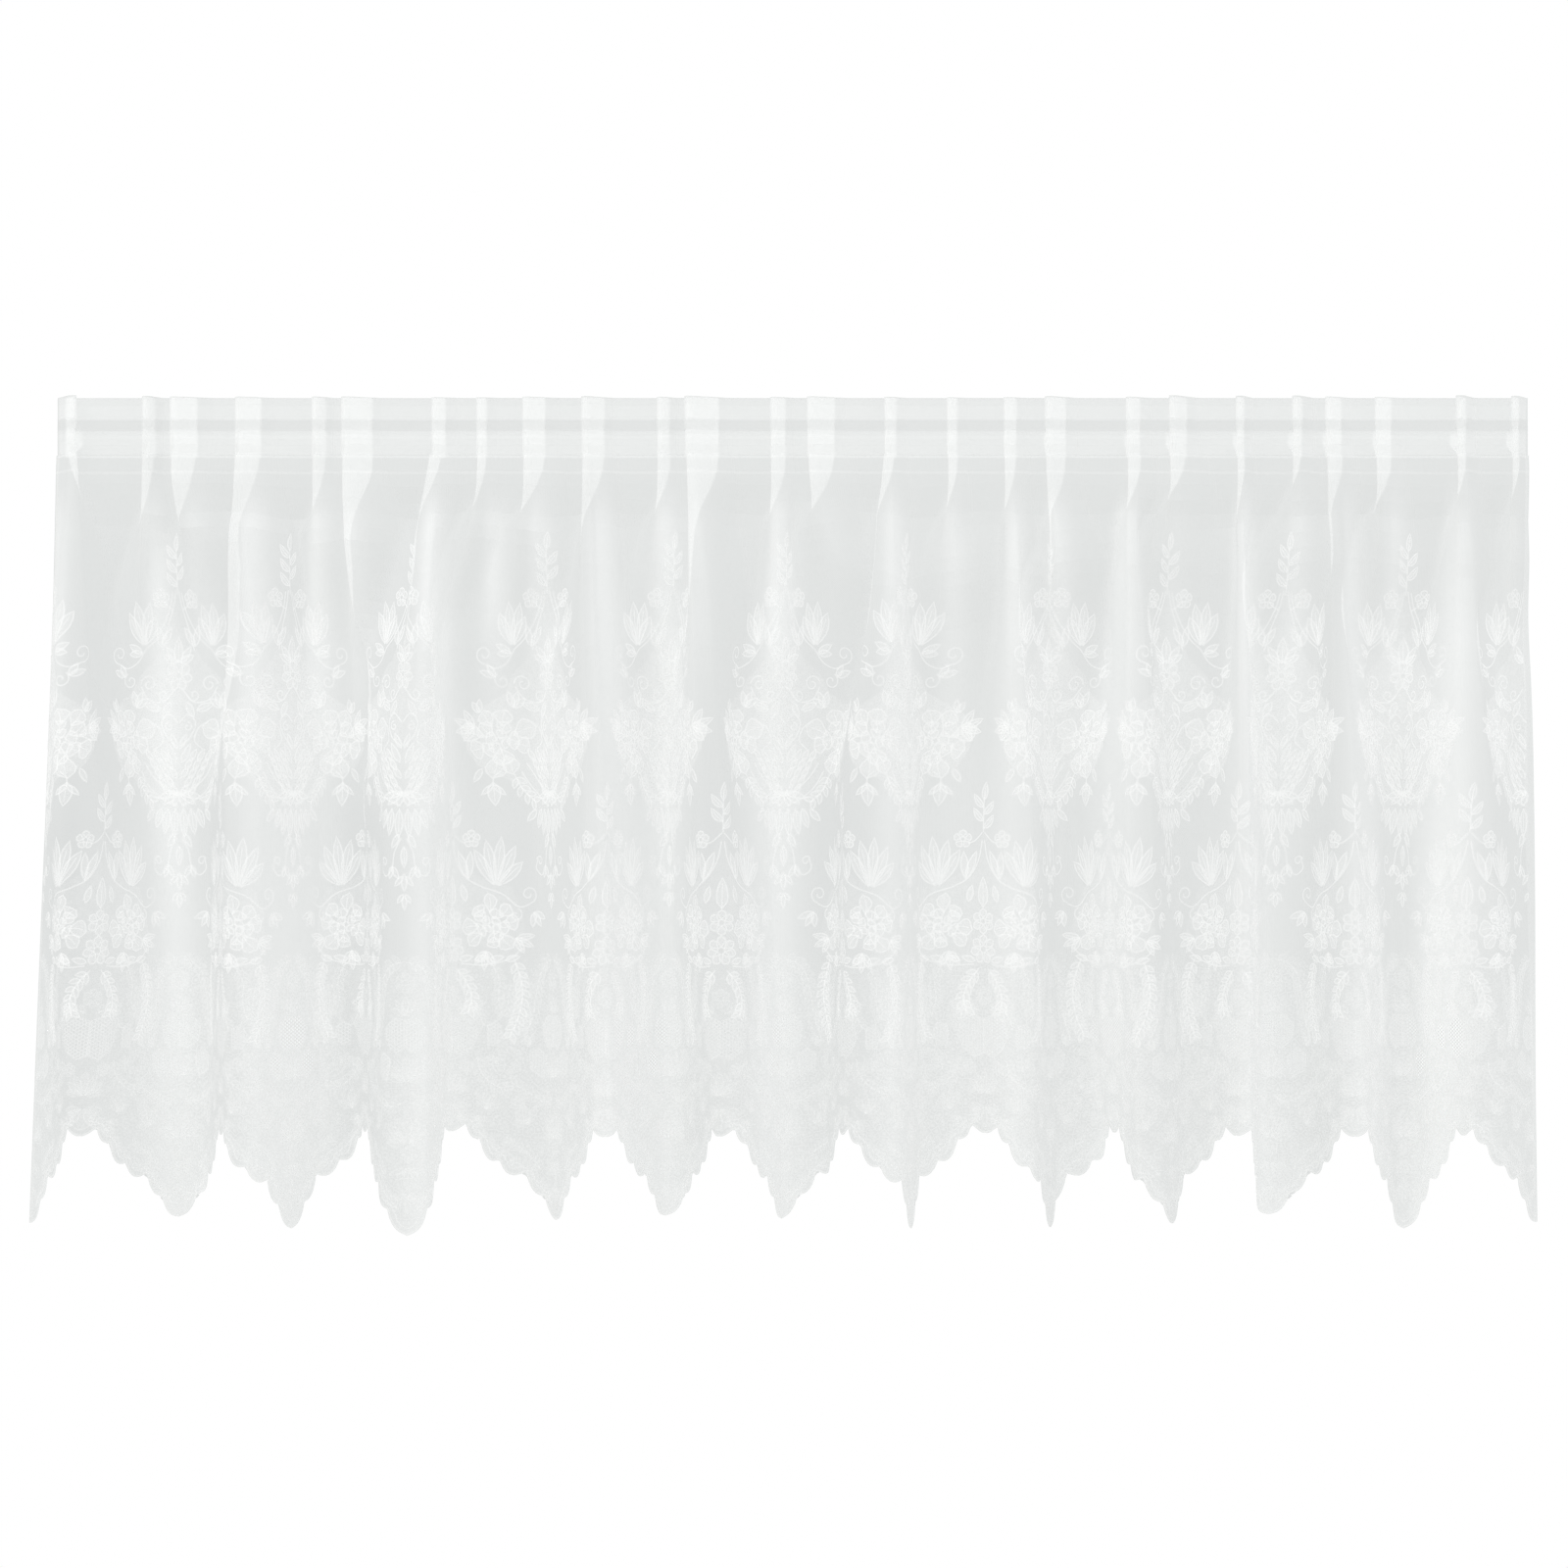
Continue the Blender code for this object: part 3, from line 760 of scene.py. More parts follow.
def groupNode(tree, group, links):
    return newNode(tree, "ShaderNodeGroup", links, node_tree=group).outputs[0]


clothOptics = {"shine": 0.2, "mostCover": 0.97, "leastCosine": 0.75, "shadeShare": 0.25, "toneSize": 60.0}


def clothMaterial(name, look):
    # look: how much the cloth covers, over its drop or everywhere, its net and figure, and its shades
    material = bpy.data.materials.new(name)
    material.use_nodes = True
    tree = material.node_tree
    shader = tree.nodes["Principled BSDF"]
    shader.inputs["Roughness"].default_value = look["roughness"]
    shader.inputs["Specular IOR Level"].default_value = clothOptics["shine"]
    shader.inputs["Sheen Weight"].default_value = look.get("sheen", 0.0)
    flat = newNode(tree, "ShaderNodeUVMap", uv_map="clothMap").outputs[0]
    tone = groupNode(tree, clothTone, [
        ("Flat", flat), ("Light", look["light"]), ("Shade", look["shade"]),
        ("Size", look.get("toneSize", clothOptics["toneSize"])),
    ])
    tree.links.new(tone, shader.inputs["Base Color"])
    if "bands" in look:
        cover = bandCover(tree, flat, look["bands"])
    else:
        cover = newNode(tree, "ShaderNodeValue").outputs[0]
        cover.default_value = look["cover"]
    # painted light and shade: cover from the fold bands, brighter on the crests and darker beside them
    if look.get("gathered"):
        gathered = newNode(tree, "ShaderNodeAttribute", attribute_name="foldTone").outputs["Fac"]
        cover = mathNode(tree, "ADD", cover, gathered)
    if "pitch" in look:
        sizes = [(label, look[label.lower()]) for label in ("Pitch", "Thread", "Softness")]
        net = groupNode(tree, hexNet, [("Flat", flat), *sizes])
        swing = mapRange(tree, net, None, None, 1 - look["contrast"], 1 + look["contrast"])
        cover = mathNode(tree, "MULTIPLY", cover, swing)
        cover = mathNode(tree, "MINIMUM", cover, clothOptics["mostCover"])
    if "figure" in look:
        figure = groupNode(tree, fineFigure, [("Flat", flat), ("Cell", look["cell"])])
        figure = mathNode(tree, "MULTIPLY", figure, bandCover(tree, flat, look["figure"]))
        cover = mathNode(tree, "ADD", cover, figure)
    facing = newNode(tree, "ShaderNodeLayerWeight", [("Blend", 0.5)]).outputs["Facing"]
    alpha = groupNode(tree, seenCover, [
        ("Cover", cover), ("Facing", facing),
        ("Least cosine", look.get("leastCosine", clothOptics["leastCosine"])),
    ])
    # light also comes through the threads, so the cloth holds back only part of it
    seen = newNode(tree, "ShaderNodeLightPath").outputs["Is Camera Ray"]
    share = mapRange(tree, seen, None, None, clothOptics["shadeShare"], 1.0)
    tree.links.new(mathNode(tree, "MULTIPLY", alpha, share), shader.inputs["Alpha"])
    return material


def bandCover(tree, flat, bands):
    # a ramp over the drop; the back of the heading has the same bands as its front
    parts = newNode(tree, "ShaderNodeSeparateXYZ", [(0, flat)]).outputs
    drop = mathNode(tree, "ABSOLUTE", mathNode(tree, "SUBTRACT", 1.0, parts["Y"]))
    share = mathNode(tree, "DIVIDE", drop, bands["depth"])
    ramp = newNode(tree, "ShaderNodeValToRGB", [(0, share)])
    points = ramp.color_ramp
    for number, (place, cover) in enumerate(bands["stops"]):
        point = points.elements[number] if number < 2 else points.elements.new(place / bands["depth"])
        point.position = place / bands["depth"]
        point.color = (cover, cover, cover, 1)
    return ramp.outputs["Color"]


netCloth = {
    "pitch": 0.0010, "thread": 0.5, "softness": 0.6, "contrast": 0.12,
    "roughness": 0.9, "light": (0.93, 0.94, 0.935, 1), "shade": (0.89, 0.905, 0.90, 1), "sheen": 0.1,
}
# stops: (drop, cover); the first two are the ends of the ramp
sheerLook = {
    **netCloth,
    "bands": {"depth": 0.62, "stops": [
        (0.0, 0.325), (0.62, 0.36), (0.16, 0.28), (0.30, 0.25), (0.395, 0.25),
    ]},
    # the sheer net takes the painted fold light and shade
    "gathered": True,
    "figure": {"depth": 0.62, "stops": [(0.0, 0.0), (0.62, 0.17), (0.396, 0.0), (0.412, 0.11)]},
    "cell": 0.0046,
    "leastCosine": 0.85,
}
headingLook = {
    **netCloth,
    "bands": {"depth": 0.05, "stops": [
        (0.0, 0.28), (0.050, 0.30), (0.0053, 0.27), (0.0060, 0.32), (0.0155, 0.32), (0.0160, 0.15),
        (0.0164, 0.16), (0.0236, 0.16), (0.0243, 0.29), (0.0270, 0.30), (0.0276, 0.34), (0.0292, 0.34),
        (0.0298, 0.31), (0.0405, 0.31), (0.0412, 0.16), (0.0420, 0.16), (0.0424, 0.22),
    ]},
}
sheerNet = clothMaterial("sheer_net", sheerLook)
headingNet = clothMaterial("heading_net", headingLook)


# the sheets
panelGuideThing = panelGuide()
headingGuideThing = headingGuide()
hanging = hangingTree()
laceRepeat = repeatTree(hanging)
print("guides made")

sheetSizes = {"columnStep": 0.0018, "rows": 50, "headingColumns": 1100}


def groundMesh():
    # rows close up towards the hem so that the lowest follows its scallops
    line = hemLine(hemShape["steps"])
    columns = clothColumns(sheetSizes["columnStep"])
    low = np.interp(columns, line[:, 0], line[:, 1])
    top = cloth["headingDrop"] - cloth["tuckedIn"]
    lines = [-(top + (low - top) * share) for share in np.linspace(0, 1, sheetSizes["rows"])]
    area = float(np.sum((low[1:] + low[:-1]) / 2 - top) * (columns[1] - columns[0]))
    return makeMesh("lace_ground", *flatGrid(columns, lines)), area


def headingMesh():
    # the back's lines are above the top edge on the flat map
    lines = list(headingLines[:-1]) + [-drop for drop in headingLines[::-1]]
    columns = np.linspace(leftEdge, rightEdge, sheetSizes["headingColumns"])
    return makeMesh("heading_cloth", *flatGrid(columns, lines))


groundFlat, groundArea = groundMesh()
ground = hang(makeObject("lace_ground", groundFlat), hanging, {
    "Guide": panelGuideThing, "Material": sheerNet,
})
headingCloth = hang(makeObject("heading_cloth", headingMesh()), hanging, {
    "Guide": headingGuideThing, "Material": headingNet,
})
print("sheets hung")


# drawing on the flat cloth, in millimetres: x to the right of a motif's axis, and drop
drawingSizes = {
    "shadeLift": 0.15,
    "fillLift": 0.30,
    "dome": 0.45,
    "threadLift": 0.75,
    "thread": 1.1,
    "vein": 0.7,
    "bluntness": 0.85,
    "petalWidth": 0.62,             # of a blossom's petals, against their share of its round
    "petalFullness": 1.5,
    "pairSlant": 40,
    "spiralCloses": 0.8,            # how far in a spiral ends, against its radius
    "spiralSteps": 14,              # for a whole turn
    "shadeStep": 4.0,
    "shadeStrips": 12,
}


def newDrawing():
    # each part holds points, faces, and for each face whether it belongs to the motif's middle
    parts = {part: ([], [], []) for part in ("shade", "cloth", "dense", "thread", "net")}
    return {**parts, "middle": False, "fill": "cloth"}


def addFaces(drawing, part, points, faces):
    allPoints, allFaces, inMiddle = drawing[part]
    start = len(allPoints)
    allPoints += [(x * mm, -drop * mm, lift * mm) for x, drop, lift in points]
    for face in faces:
        # every face is turned to the front
        outline = [points[corner] for corner in face]
        turn = sum(a[0] * b[1] - b[0] * a[1] for a, b in zip(outline, outline[1:] + outline[:1]))
        allFaces.append(tuple(start + corner for corner in (face if turn < 0 else face[::-1])))
        inMiddle.append(drawing["middle"])


def stroke(drawing, line, width=drawingSizes["thread"], closed=False):
    # a flat ribbon along a line of points
    line = np.array(line, dtype=float)
    ahead = np.gradient(line, axis=0)
    if closed:
        ahead = np.roll(line, -1, axis=0) - np.roll(line, 1, axis=0)
    ahead *= width / 2 / np.maximum(np.hypot(ahead[:, 0], ahead[:, 1]), 1e-6)[:, None]
    lift = drawingSizes["threadLift"]
    points = []
    for (x, drop), (dx, dd) in zip(line, ahead):
        points += [(x - dd, drop + dx, lift), (x + dd, drop - dx, lift)]
    count = len(line)
    ends = range(count if closed else count - 1)
    faces = [(2 * i, 2 * i + 1, (2 * i + 3) % (2 * count), (2 * i + 2) % (2 * count)) for i in ends]
    addFaces(drawing, "thread", points, faces)


def curve(points, steps):
    # a smooth line through the points
    points = [np.array(point, dtype=float) for point in points]
    padded = [2 * points[0] - points[1]] + points + [2 * points[-1] - points[-2]]
    line = []
    for a, b, c, d in zip(padded, padded[1:], padded[2:], padded[3:]):
        for step in range(steps):
            t = step / steps
            line.append(0.5 * (2 * b + (c - a) * t + (2 * a - 5 * b + 4 * c - d) * t ** 2
                               + (3 * b - a - 3 * c + d) * t ** 3))
    return line + [points[-1]]


def stem(drawing, points, steps=5):
    stroke(drawing, curve(points, steps))


def blade(base, tip, width, fullness, bend, stations):
    # middle line and half widths of a leaf or petal; fullness moves its widest place towards the tip
    base, tip = np.array(base, dtype=float), np.array(tip, dtype=float)
    reach = tip - base
    length = max(math.hypot(*reach), 1e-6)
    across = np.array([-reach[1], reach[0]]) / length
    t = np.linspace(0, 1, stations)
    middle = base + reach * t[:, None] + across * (bend * np.sin(math.pi * t))[:, None]
    half = width / 2 * np.sin(math.pi * t ** fullness) ** drawingSizes["bluntness"]
    return middle, across, np.maximum(half, 0.0)


def leaf(drawing, base, tip, width, fullness=0.85, bend=0.0, vein=False, stations=6):
    # a domed blade with a thread around it, and one along it if it has a vein
    middle, across, half = blade(base, tip, width, fullness, bend, stations)
    low, high = drawingSizes["fillLift"], drawingSizes["fillLift"] + drawingSizes["dome"]
    lefts, rights = middle + across * half[:, None], middle - across * half[:, None]
    points = []
    for left, place, right in zip(lefts, middle, rights):
        points += [(*left, low), (*place, high), (*right, low)]
    faces = []
    for i in range(stations - 1):
        a, b = 3 * i, 3 * i + 3
        if i == 0:
            faces += [(a + 1, b, b + 1), (a + 1, b + 1, b + 2)]
        elif i == stations - 2:
            faces += [(a, a + 1, b + 1), (a + 1, a + 2, b + 1)]
        else:
            faces += [(a, a + 1, b + 1, b), (a + 1, a + 2, b + 2, b + 1)]
    addFaces(drawing, drawing["fill"], points, faces)
    stroke(drawing, [*lefts, *rights[-2:0:-1]], closed=True)
    if vein:
        stroke(drawing, middle[:-1], drawingSizes["vein"])


def polar(centre, radius, angle):
    # angle in degrees, 0 to the right and 90 up the cloth
    a = math.radians(angle)
    return (centre[0] + radius * math.cos(a), centre[1] - radius * math.sin(a))


def blossom(drawing, centre, radius, petals, heart=0.28):
    wide = 2 * math.pi * radius * drawingSizes["petalWidth"] / petals
    for number in range(petals):
        angle = 90 + 360 * number / petals
        base, tip = polar(centre, radius * heart, angle), polar(centre, radius, angle)
        leaf(drawing, base, tip, wide, drawingSizes["petalFullness"])
    ring(drawing, centre, radius * heart)


def ring(drawing, centre, radius, steps=10):
    stroke(drawing, [polar(centre, radius, 360 * i / steps) for i in range(steps)], closed=True)


# rounds: reach, petals, where they start, and turn; uneven: how far petals differ
roseShape = {
    "rounds": ((1.0, 8, 0.44, 0), (0.62, 5, 0.22, 24), (0.34, 4, 0.06, 10)),
    "petalWidth": 0.64,
    "unevenTurn": 7,
    "uneven": 0.16,
    "waves": (2.9, 2.3, 1.7),       # of turn, reach and width, from petal to petal
    "widest": 1.06,
    "fullness": 1.35,
    "bend": 1.4,
    "heart": 0.1,
}


def rose(drawing, centre, radius, turn):
    # three rounds of petals, each lying on the one outside it
    uneven = roseShape["uneven"]
    turnWave, reachWave, widthWave = roseShape["waves"]
    drawing["fill"] = "dense"
    for share, petals, inner, twist in roseShape["rounds"]:
        wide = 2 * math.pi * radius * share * roseShape["petalWidth"] / petals
        for number in range(petals):
            angle = turn + twist + 360 * number / petals
            angle += roseShape["unevenTurn"] * math.sin(turnWave * number)
            reach = radius * share * (1 + uneven * math.sin(reachWave * number + turn))
            width = wide * (roseShape["widest"] - uneven * math.sin(widthWave * number))
            leaf(drawing, polar(centre, radius * inner, angle), polar(centre, reach, angle), width,
                 roseShape["fullness"], bend=roseShape["bend"], vein=share > 0.5)
    ring(drawing, centre, radius * roseShape["heart"])
    drawing["fill"] = "cloth"


def spiral(drawing, centre, radius, start, turns):
    shares = np.linspace(0, 1, round(drawingSizes["spiralSteps"] * abs(turns)) + 1)
    radii = radius * (1 - drawingSizes["spiralCloses"] * shares)
    stroke(drawing, [polar(centre, r, start + 360 * turns * t) for r, t in zip(radii, shares)])


def fan(drawing, base, reach, angles, width, fullness=0.85, vein=False, start=0.0):
    for long, angle in zip(reach, angles):
        leaf(drawing, polar(base, start, angle), polar(base, long, angle), width, fullness, vein=vein)


def leafyStem(drawing, line, size, spacing):
    # leaves in pairs along a smooth line
    line = np.array(curve(line, 8))
    stroke(drawing, line[::2])
    run = np.concatenate([[0], np.cumsum(np.hypot(*np.diff(line, axis=0).T))])
    for place in np.arange(spacing / 2, run[-1], spacing):
        (x, ahead), (drop, dropAhead) = (np.interp((place, place + 1), run, values) for values in line.T)
        way = math.degrees(math.atan2(drop - dropAhead, ahead - x))
        for slant in (drawingSizes["pairSlant"], -drawingSizes["pairSlant"]):
            leaf(drawing, (x, drop), polar((x, drop), size[0], way + slant), size[1], stations=5)


def netPatch(drawing, outline):
    outline = [np.array(point, dtype=float) for point in outline]
    centre = sum(outline) / len(outline)
    lift = drawingSizes["fillLift"]
    points = [(*centre, lift)] + [(*point, lift) for point in outline]
    count = len(outline)
    addFaces(drawing, "net", points, [(0, 1 + i, 1 + (i + 1) % count) for i in range(count)])
    stroke(drawing, outline, closed=True)


def shadePatch(drawing, edgeLine):
    # closer ground from the axis out to a line given from top to bottom, in strips that can fold
    edge = np.array(edgeLine, dtype=float)
    drops = np.arange(edge[0, 1], edge[-1, 1] + 0.1, drawingSizes["shadeStep"])
    shares = np.linspace(0, 1, drawingSizes["shadeStrips"] + 1)
    points = []
    for drop, width in zip(drops, np.interp(drops, edge[:, 1], edge[:, 0])):
        points += [(width * share, drop, drawingSizes["shadeLift"]) for share in shares]
    addFaces(drawing, "shade", points, gridFaces(len(drops), len(shares)))


def flatPart(drawing, part, name):
    points, faces, inMiddle = drawing[part]
    mesh = makeMesh(name, points, faces)
    mark = mesh.attributes.new("middle", "BOOLEAN", "FACE")
    mark.data.foreach_set("value", inMiddle)
    return makeObject(name, mesh)


# upper bouquets, on the axis of each hem point
def sprig(drawing, top, low):
    # an upright stem with leaves by turns; not the same on both sides, so it is a middle part
    drawing["middle"] = True
    leaf(drawing, (0, top + 13), (1.5, top), 5.0, vein=True)
    stem(drawing, [(0.8, top + 8), (0, top + 16), (0, low)], 4)
    side, drop = -1, top + 18
    while drop < low - 1:
        leaf(drawing, (0, drop), (side * 8.5, drop - 9.5), 4.6, bend=side * 1.0, vein=True)
        side, drop = -side, drop + 5
    drawing["middle"] = False


def upperBouquet():
    drawing = newDrawing()
    shadePatch(drawing, [
        (2, 140), (9, 156), (13, 176), (19, 188), (31, 198), (38, 212), (60, 224), (70, 236),
        (68, 252), (60, 266), (40, 274), (27, 284), (20, 298), (12, 312), (3, 324),
    ])
    sprig(drawing, 97, 141)
    stem(drawing, [(1.5, 138), (4, 150), (9, 165), (13, 181)])
    stem(drawing, [(4, 139), (7, 151), (13, 164), (20, 174), (27, 180)])
    blossom(drawing, (14, 144), 7.0, 5)
    stem(drawing, [(4, 152), (9, 149), (12, 146)], 4)
    fan(drawing, (28, 180), (25, 33, 34, 29), (112, 98, 80, 62), 8.0, 1.15, True, 3)
    fan(drawing, (14, 178), (16, 15), (122, 78), 5.0, 0.85)
    fan(drawing, (30, 183), (13, 11), (28, -4), 5.0)
    stem(drawing, [(27, 180), (34, 190), (43, 194), (51, 191)])
    spiral(drawing, (51, 184), 7.0, -90, 1.25)
    spiral(drawing, (39, 203), 6.0, 60, -1.2)
    fan(drawing, (44, 200), (12, 10), (20, 60), 4.5)
    # crown on the axis, and the scrolls under it
    drawing["middle"] = True
    leaf(drawing, (0, 190), (0, 171), 7.5, 0.7, vein=True)
    blossom(drawing, (0, 199), 11, 7, heart=0.22)
    drawing["middle"] = False
    fan(drawing, (2, 190), (15, 12), (55, 28), 5.0)
    stem(drawing, [(3, 209), (12, 218), (24, 216), (30, 207)])
    spiral(drawing, (24, 205), 6.5, 0, 1.3)
    spiral(drawing, (12, 213), 5.0, 180, 1.2)
    leaf(drawing, (14, 224), (27, 219), 5.5, vein=True)
    leaf(drawing, (6, 218), (12, 229), 5.0)
    # roses
    rose(drawing, (45, 246), 25, 20)
    fan(drawing, (33, 222), (12, 12, 11), (75, 110, 145), 5.0)
    fan(drawing, (62, 237), (15, 16, 14, 12), (62, 25, -12, -50), 5.2, vein=True)
    fan(drawing, (58, 226), (10, 9), (95, 60), 4.2)
    stem(drawing, [(22, 232), (15, 237), (12, 246), (18, 252)])
    # hearts on the axis
    stem(drawing, [(0.6, 233), (7, 227), (13, 233), (9, 243), (1.5, 250)])
    spiral(drawing, (7, 236), 3.6, 90, -1.1)
    leaf(drawing, (2, 262), (9, 248), 4.6)
    leaf(drawing, (1, 252), (6, 241), 3.6)
    # lattice of leaves that closes downwards
    for row in range(5):
        drop = 256 + 6.2 * row
        for column in range(3):
            x = 20 - 3.2 * row - 6.0 * column
            if x > 0.5:
                leaf(drawing, (x, drop + 5), (x + 5.5, drop - 4), 3.8, stations=5)
    stem(drawing, [(27, 262), (20, 272), (10, 281), (1, 286)])
    stem(drawing, [(31, 268), (24, 279), (13, 288), (2, 293)])
    leafyStem(drawing, [(36, 270), (30, 282), (20, 291)], (8, 3.8), 6.5)
    # buds that hang from the roses
    stem(drawing, [(45, 268), (50, 272), (51, 278)], 4)
    leaf(drawing, (51, 276), (50, 293), 9.0, 0.8, vein=True)
    fan(drawing, (51, 278), (11, 11), (-40, -140), 3.6)
    leaf(drawing, (58, 266), (64, 276), 4.0)
    # tassel
    fan(drawing, (0.5, 283), (11, 15, 17), (-70, -38, -14), 4.6)
    for x, low in ((4.0, 316), (11.5, 314), (18.5, 309)):
        leaf(drawing, (x * 0.75, 295), (x, low), 5.6, 0.9, vein=True)
    leaf(drawing, (20, 296), (28, 304), 4.6)
    leaf(drawing, (3.5, 313), (9, 323), 4.0)
    stem(drawing, [(2, 316), (7, 326), (9, 337), (15, 343), (21, 338), (19, 331)])
    spiral(drawing, (17, 333), 4.0, 20, 1.0)
    fan(drawing, (9, 336), (10, 9), (-120, -75), 3.8)
    drawing["middle"] = True
    leaf(drawing, (0, 322), (0, 337), 4.6, vein=True)
    leaf(drawing, (0, 341), (0, 354), 4.2)
    leaf(drawing, (0, 357), (0, 367), 3.4)
    drawing["middle"] = False
    leaf(drawing, (0.8, 343), (7, 350), 3.4)
    leaf(drawing, (0.8, 356), (5, 362), 3.0)
    return drawing


# lower bouquets, halfway between the hem points
def lowerBouquet():
    drawing = newDrawing()
    shadePatch(drawing, [
        (1, 312), (8, 328), (20, 344), (44, 352), (50, 366), (54, 384), (50, 400), (36, 410),
        (30, 424), (24, 444), (22, 470), (26, 500),
    ])
    sprig(drawing, 276, 312)
    blossom(drawing, (16, 317), 6.4, 5)
    stem(drawing, [(0.8, 312), (7, 318), (12, 320)], 4)
    stem(drawing, [(1, 318), (4, 332), (12, 345), (24, 352)])
    fan(drawing, (33, 353), (32, 36, 38, 34, 27), (118, 101, 84, 66, 46), 7.4, 1.15, True, 3)
    fan(drawing, (14, 346), (22, 20), (112, 86), 5.2, 1.0)
    stem(drawing, [(24, 352), (38, 357), (49, 366), (57, 364)])
    spiral(drawing, (56, 357), 6.6, -80, 1.25)
    spiral(drawing, (47, 372), 5.0, 70, -1.1)
    fan(drawing, (60, 370), (13, 12, 11), (-20, -58, -95), 4.4)
    drawing["middle"] = True
    leaf(drawing, (0, 366), (0, 344), 8.0, 0.75, vein=True)
    blossom(drawing, (0, 376), 9.0, 6, heart=0.25)
    blossom(drawing, (0, 396), 10.5, 7, heart=0.25)
    drawing["middle"] = False
    rose(drawing, (30, 379), 20, 50)
    leaf(drawing, (12, 362), (9, 350), 4.6)
    fan(drawing, (47, 389), (14, 14, 12), (10, -25, -60), 4.8, vein=True)
    fan(drawing, (26, 398), (13, 14, 12), (-60, -95, -130), 4.8, vein=True)
    for x in (11, 22, 33, 44):
        leaf(drawing, (x - 4, 404.5), (x + 6, 402), 4.2)
    stem(drawing, [(8, 407), (24, 408), (42, 404), (52, 396)])
    leafyStem(drawing, [(4, 410), (12, 420), (16, 432), (13, 444)], (8, 3.6), 6.0)
    leafyStem(drawing, [(46, 404), (50, 416), (52, 430), (49, 446), (44, 458)], (8, 3.6), 6.5)
    return drawing


# border: one drawing on each hem point's axis and one halfway between
def besideHem(inset, start, end, fromTip):
    # a line that keeps off the hem by inset; start and end are distances from the drawing's axis
    half = np.array(halfHem(6)) / mm
    width = cloth["repeat"] / 2 / mm
    line = []
    for x in np.linspace(start, end, 9):
        place = width - x if fromTip else x
        near = [np.interp(place + step, half[:, 0], half[:, 1]) for step in (-5, 0, 5)]
        line.append((x, sum(near) / 3 - inset))
    return line


def tipBorder():
    drawing = newDrawing()
    leafyStem(drawing, [(0.5, 404), (9, 406), (17, 414), (21, 428), (24, 446), (30, 462)], (8.5, 3.8), 5.4)
    leafyStem(drawing, [(28, 412), (33, 424), (34, 438)], (7.5, 3.6), 5.6)
    leafyStem(drawing, [(39, 420), (41, 436), (38, 450), (40, 462)], (7, 3.4), 5.4)
    drawing["middle"] = True
    blossom(drawing, (0, 419), 7.5, 6)
    leaf(drawing, (0, 441), (0, 428), 5.0, vein=True)
    drawing["middle"] = False
    fan(drawing, (0.6, 442), (13, 11), (58, 25), 4.2)
    netPatch(drawing, [(0.3, 445), (9, 444), (16, 452), (14, 463), (7, 469), (0.3, 466)])
    netPatch(drawing, [(25, 440), (31, 443), (34, 452), (29, 458), (25, 450)])
    # palmette under the net
    drawing["middle"] = True
    leaf(drawing, (0, 488), (0, 470), 6.4, 1.1, vein=True)
    drawing["middle"] = False
    fan(drawing, (0.8, 489), (18, 17, 15), (66, 42, 18), 5.6, 1.1, True)
    blossom(drawing, (40, 477), 10.5, 8, heart=0.4)
    ring(drawing, (40, 477), 12.6, steps=18)
    fan(drawing, (25, 466), (9, 9, 8), (60, 100, 20), 3.6)
    stem(drawing, [(1, 497), (12, 500), (22, 494), (29, 484)])
    leafyStem(drawing, [(2, 504), (14, 507), (27, 500), (38, 493)], (7.5, 3.6), 5.2)
    netPatch(drawing, [(11, 474), (19, 468), (26, 473), (25, 484), (15, 490)])
    # second palmette, and what follows the hem
    drawing["middle"] = True
    leaf(drawing, (0, 532), (0, 511), 6.8, 1.15, vein=True)
    blossom(drawing, (0, 541), 6.0, 6)
    leaf(drawing, (0, 566), (0, 550), 6.0, vein=True)
    leaf(drawing, (0, 583), (0, 571), 4.4)
    ring(drawing, (0, 568.5), 2.4)
    drawing["middle"] = False
    fan(drawing, (1.0, 533), (20, 19, 17, 14), (68, 46, 24, 2), 6.0, 1.15, True)
    fan(drawing, (26, 523), (15, 15, 14, 12), (110, 75, 40, 5), 5.0, 1.1, True)
    blossom(drawing, (34, 508), 5.6, 6)
    spiral(drawing, (17, 541), 4.2, 120, -1.2)
    fan(drawing, (1.0, 551), (13, 12), (-20, -52), 4.2)
    fan(drawing, (0.8, 569), (9, 8), (-28, -60), 3.4)
    leafyStem(drawing, besideHem(9, 5, 40, True), (6.5, 3.2), 4.8)
    leafyStem(drawing, besideHem(21, 16, 41, True), (6.5, 3.2), 5.0)
    return drawing


